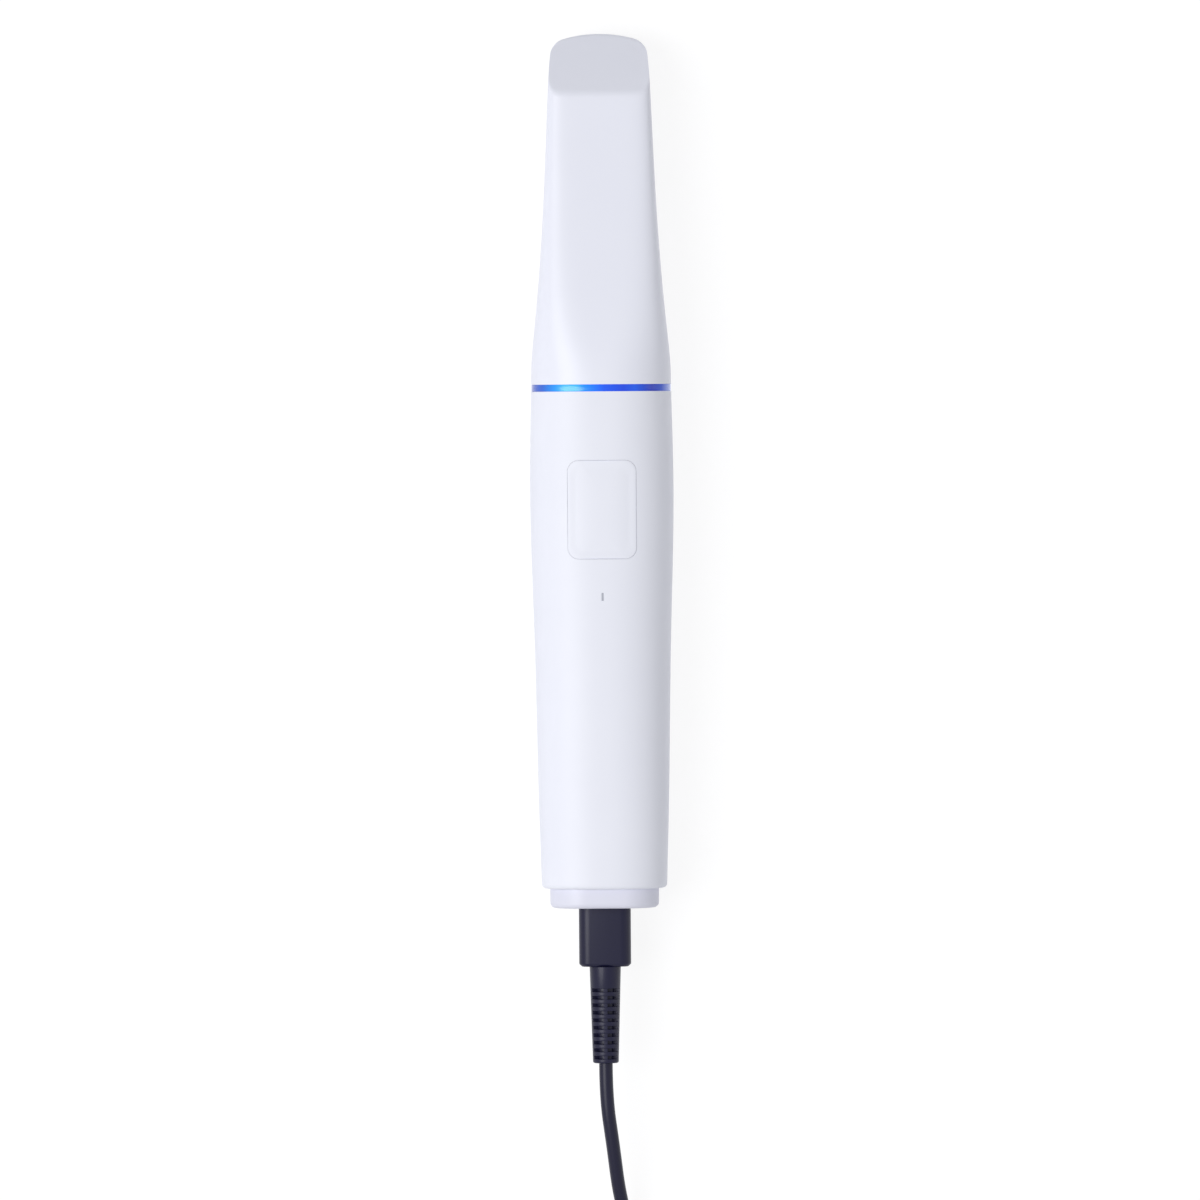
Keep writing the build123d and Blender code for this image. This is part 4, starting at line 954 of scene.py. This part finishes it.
# Plug body with a chamfered end and softened edges
def makePlug():
    plug = plugSettings
    rear, front = plugBox[0].y, plugBox[1].y
    chamfer, soften = plug["chamfer"], plug["soften"]
    rings = [(front, -soften), (front - soften, 0), (rear + chamfer + soften, 0),
             (rear + chamfer, -bevelShare * soften), (rear + plug["lastRun"], -chamfer),
             (rear, -chamfer - plug["lastDrop"])]
    body = barMesh(0, capSettings["port"], plug["width"], plug["height"], plug["corner"], rings,
                   plug["cornerSteps"])
    return finishPiece("plugBody", body, "cable", "plug_tpe", ["plug_body"])


plugPiece = makePlug()

reliefSettings = {
    "diameter": 8.0 * mm, "endDiameter": 6.6 * mm, "collar": 5.6 * mm, "ribs": 10, "ribShare": 0.55,
    "depth": 1.3 * mm, "spine": 1.1 * mm, "rail": 3.6 * mm, "edge": 0.12 * mm, "rearEdge": 0.4 * mm,
    "lean": 0.03,  # angle over which the slots' side walls rise
    "railSteps": 3, "slotSteps": 10,
}
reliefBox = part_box("strain_relief")


# Strain relief: rings of a round boot, which drop to the core between the ribs, but for a spine along the
# top and the underside and a wider rail along each side
def makeRelief():
    relief = reliefSettings
    rear, front = reliefBox[0].y, reliefBox[1].y
    length = front - rear
    lean, edge, rearEdge = relief["lean"], relief["edge"], relief["rearEdge"]
    middle, rearMiddle = edge * bevelShare, rearEdge * bevelShare
    railAngle = asin(relief["rail"] / relief["diameter"])
    spineAngle = pi / 2 - asin(relief["spine"] / relief["diameter"])
    railSteps, slotSteps = relief["railSteps"], relief["slotSteps"]
    quarter = [railAngle * i / railSteps for i in range(railSteps + 1)]
    quarter += [mixed(railAngle + lean, spineAngle - lean, i / slotSteps) for i in range(slotSteps + 1)]
    quarter += [spineAngle, pi / 2]
    angles = quarter + [pi - angle for angle in reversed(quarter[:-1])]
    angles += [pi + angle for angle in quarter[1:]] + [2 * pi - angle for angle in reversed(quarter[1:-1])]

    def ring(y, inward, slotted=False):
        outer = mixed(relief["diameter"], relief["endDiameter"], (front - y) / length) / 2
        points = []
        for angle in angles:
            fromSide = asin(min(abs(sin(angle)), 1))
            inSlot = slotted and railAngle + lean / 2 < fromSide < spineAngle - lean / 2
            radius = outer - (relief["depth"] if inSlot else inward)
            points.append((radius * cos(angle), y, capSettings["port"] + radius * sin(angle)))
        return points

    rings = [ring(front, edge), ring(front - edge, 0)]
    pitch = (length - relief["collar"]) / relief["ribs"]
    slot = pitch * (1 - relief["ribShare"])
    for rib in range(relief["ribs"]):
        slotFront = front - relief["collar"] - rib * pitch
        slotRear = slotFront - slot
        rings += [ring(slotFront + edge, 0), ring(slotFront + middle, middle), ring(slotFront, edge),
                  ring(slotFront, 0, True), ring(slotRear, 0, True), ring(slotRear, edge),
                  ring(slotRear - middle, middle), ring(slotRear - edge, 0)]
    rings += [ring(rear + rearEdge, 0), ring(rear + rearMiddle, rearMiddle), ring(rear, rearEdge)]
    bm = bmesh.new()
    loftRings(bm, rings)
    return finishPiece("strainRelief", bm, "cable", "plug_tpe", ["strain_relief"])


reliefPiece = makeRelief()
print("tail, plug and relief made")

# Far plug: moulded body with finger grooves, metal shell with its two windows, tapered relief
farSettings = {
    "width": 15.8 * mm, "height": 8.0 * mm, "corner": 2.2 * mm, "edge": 1.0 * mm,
    # distance from the rear face, and how far in the edge lies there
    "rearEdge": ((0.6 * mm, 0), (0.05 * mm, 0.55 * mm), (0, 0.7 * mm)),
    "grooves": 5, "groovePitch": 1.6 * mm, "grooveWidth": 0.6 * mm, "grooveDepth": 0.35 * mm,
    "shellWidth": 12.0 * mm, "shellHeight": 4.5 * mm, "shellCorner": 0.5 * mm, "shellSteps": 4,
    "shellWall": 0.4 * mm, "hollowCorner": 0.2 * mm,
    "mouthRun": 0.2 * mm,  # length and depth of the shell's softened mouth
    "mouthDrop": 0.12 * mm, "window": 2.4 * mm, "windowCorner": 0.15 * mm, "windowAside": 2.9 * mm,
    "windowAhead": 0.6 * mm,  # from the shell's middle towards its mouth
    "reliefSteps": 40, "reliefRings": 3, "ringStart": 1.6 * mm, "ringPitch": 2.0 * mm,
    # distance from a ring groove's start, and how deep it is there
    "ringGroove": ((0, 0), (0.15 * mm, 0.35 * mm), (0.75 * mm, 0.38 * mm), (0.9 * mm, 0.1 * mm)),
    "neck": 2.15 * mm,  # radius where the relief ends on the cable
    "neckRound": 0.2 * mm, "merging": 0.002 * mm,
}
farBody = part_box("far_body")
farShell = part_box("far_shell")
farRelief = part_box("far_relief")
farX = (farBody[0].x + farBody[1].x) / 2
farZ = (farBody[0].z + farBody[1].z) / 2


def makeFarBody():
    far = farSettings
    rear, front = farBody[0].y, farBody[1].y
    rings = roundedEnd(front, 1, far["edge"])[::-1]
    rings += [(rear + along, -inward) for along, inward in far["rearEdge"]]
    body = barMesh(farX, farZ, far["width"], far["height"], far["corner"], rings)
    cuts = []
    for groove in range(far["grooves"]):
        y = (front + rear) / 2 + (groove - (far["grooves"] - 1) / 2) * far["groovePitch"]
        for side in (-1, 1):
            face = farX + side * far["width"] / 2
            ends = sorted((face - side * far["grooveDepth"], face + side * overrun))
            cuts.append(("DIFFERENCE", boxMesh((ends[0], y - far["grooveWidth"] / 2, -outside),
                                               (ends[1], y + far["grooveWidth"] / 2, outside))))
    return finishPiece("farPlugBody", carve(body, cuts), "cable", "plug_tpe", ["far_body"])


def makeFarShell():
    far = farSettings
    mouth, back = farShell[0].y, farShell[1].y
    wall = far["shellWall"]
    shell = barMesh(farX, farZ, far["shellWidth"], far["shellHeight"], far["shellCorner"],
                    [(back, 0), (mouth + far["mouthRun"], 0), (mouth, -far["mouthDrop"])], far["shellSteps"])
    hollow = barMesh(farX, farZ, far["shellWidth"] - 2 * wall, far["shellHeight"] - 2 * wall,
                     far["hollowCorner"], [(back - wall, 0), (mouth - overrun, 0)], far["shellSteps"])
    cuts = [("DIFFERENCE", hollow)]
    for side in (-1, 1):
        middle = (farX + side * far["windowAside"], (mouth + back) / 2 - far["windowAhead"])
        cuts.append(("DIFFERENCE", prism(middle, far["window"], far["window"], far["windowCorner"],
                                         -outside, outside)))
    return finishPiece("farPlugShell", carve(shell, cuts), "cable", "contact_steel", ["far_shell"])


# The far plug's relief: a profile spun round its axis, with ring grooves
def makeFarRelief():
    far = farSettings
    low, high = farRelief
    top = (high.x - low.x) / 2
    profile = [(low.y, 0), (low.y, top)]
    for ring in range(far["reliefRings"]):
        y = low.y + far["ringStart"] + ring * far["ringPitch"]
        size = mixed(top, far["neck"], (y - low.y) / (high.y - low.y))
        profile += [(y + along, size - depth) for along, depth in far["ringGroove"]]
    profile += [(high.y - far["neckRound"], far["neck"]), (high.y, far["neck"] - far["neckRound"]),
                (high.y, 0)]
    bm = bmesh.new()
    verts = [bm.verts.new((farX, y, farZ + radius)) for y, radius in profile]
    for one, other in zip(verts, verts[1:]):
        bm.edges.new((one, other))
    bmesh.ops.spin(bm, geom=bm.verts[:] + bm.edges[:], axis=(0, 1, 0), cent=(farX, 0, farZ),
                   steps=far["reliefSteps"], angle=2 * pi, use_merge=True)
    bmesh.ops.remove_doubles(bm, verts=bm.verts, dist=far["merging"])
    return finishPiece("farPlugRelief", bm, "cable", "plug_tpe", ["far_relief"])


farPieces = (makeFarBody(), makeFarShell(), makeFarRelief())

strapSettings = {"wall": 0.8 * mm, "corner": 1.6 * mm, "cornerSteps": 6, "tightening": 0.5}


# Strap round the coil: a closed band with rounded corners
def makeStrap():
    settings = strapSettings
    low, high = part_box("coil_tie")
    centre = (low + high) / 2
    wall = settings["wall"]
    loops = []
    for grow, y in ((0, low.y), (0, high.y), (-wall, high.y), (-wall, low.y)):
        outline = roundedOutline(high.x - low.x + 2 * grow, high.z - low.z + 2 * grow,
                                 settings["corner"] + grow * settings["tightening"], settings["cornerSteps"])
        loops.append([(centre.x + x, y, centre.z + z) for x, z in outline])
    return finishPiece("coilStrap", bandMesh(loops), "cable", "tie_strap", ["coil_tie"])


strap = makeStrap()
print("far plug and strap made")

# The other CAD nodes keep their shape and take their slot's finish
slotOf = {row["node"]: row["material_slot"] for row in frame["record"]["subparts"]}
for node, item in frame["nodes"].items():
    item.data.materials.clear()
    item.data.materials.append(finishes[slotOf[node]])

print("pieces finished")
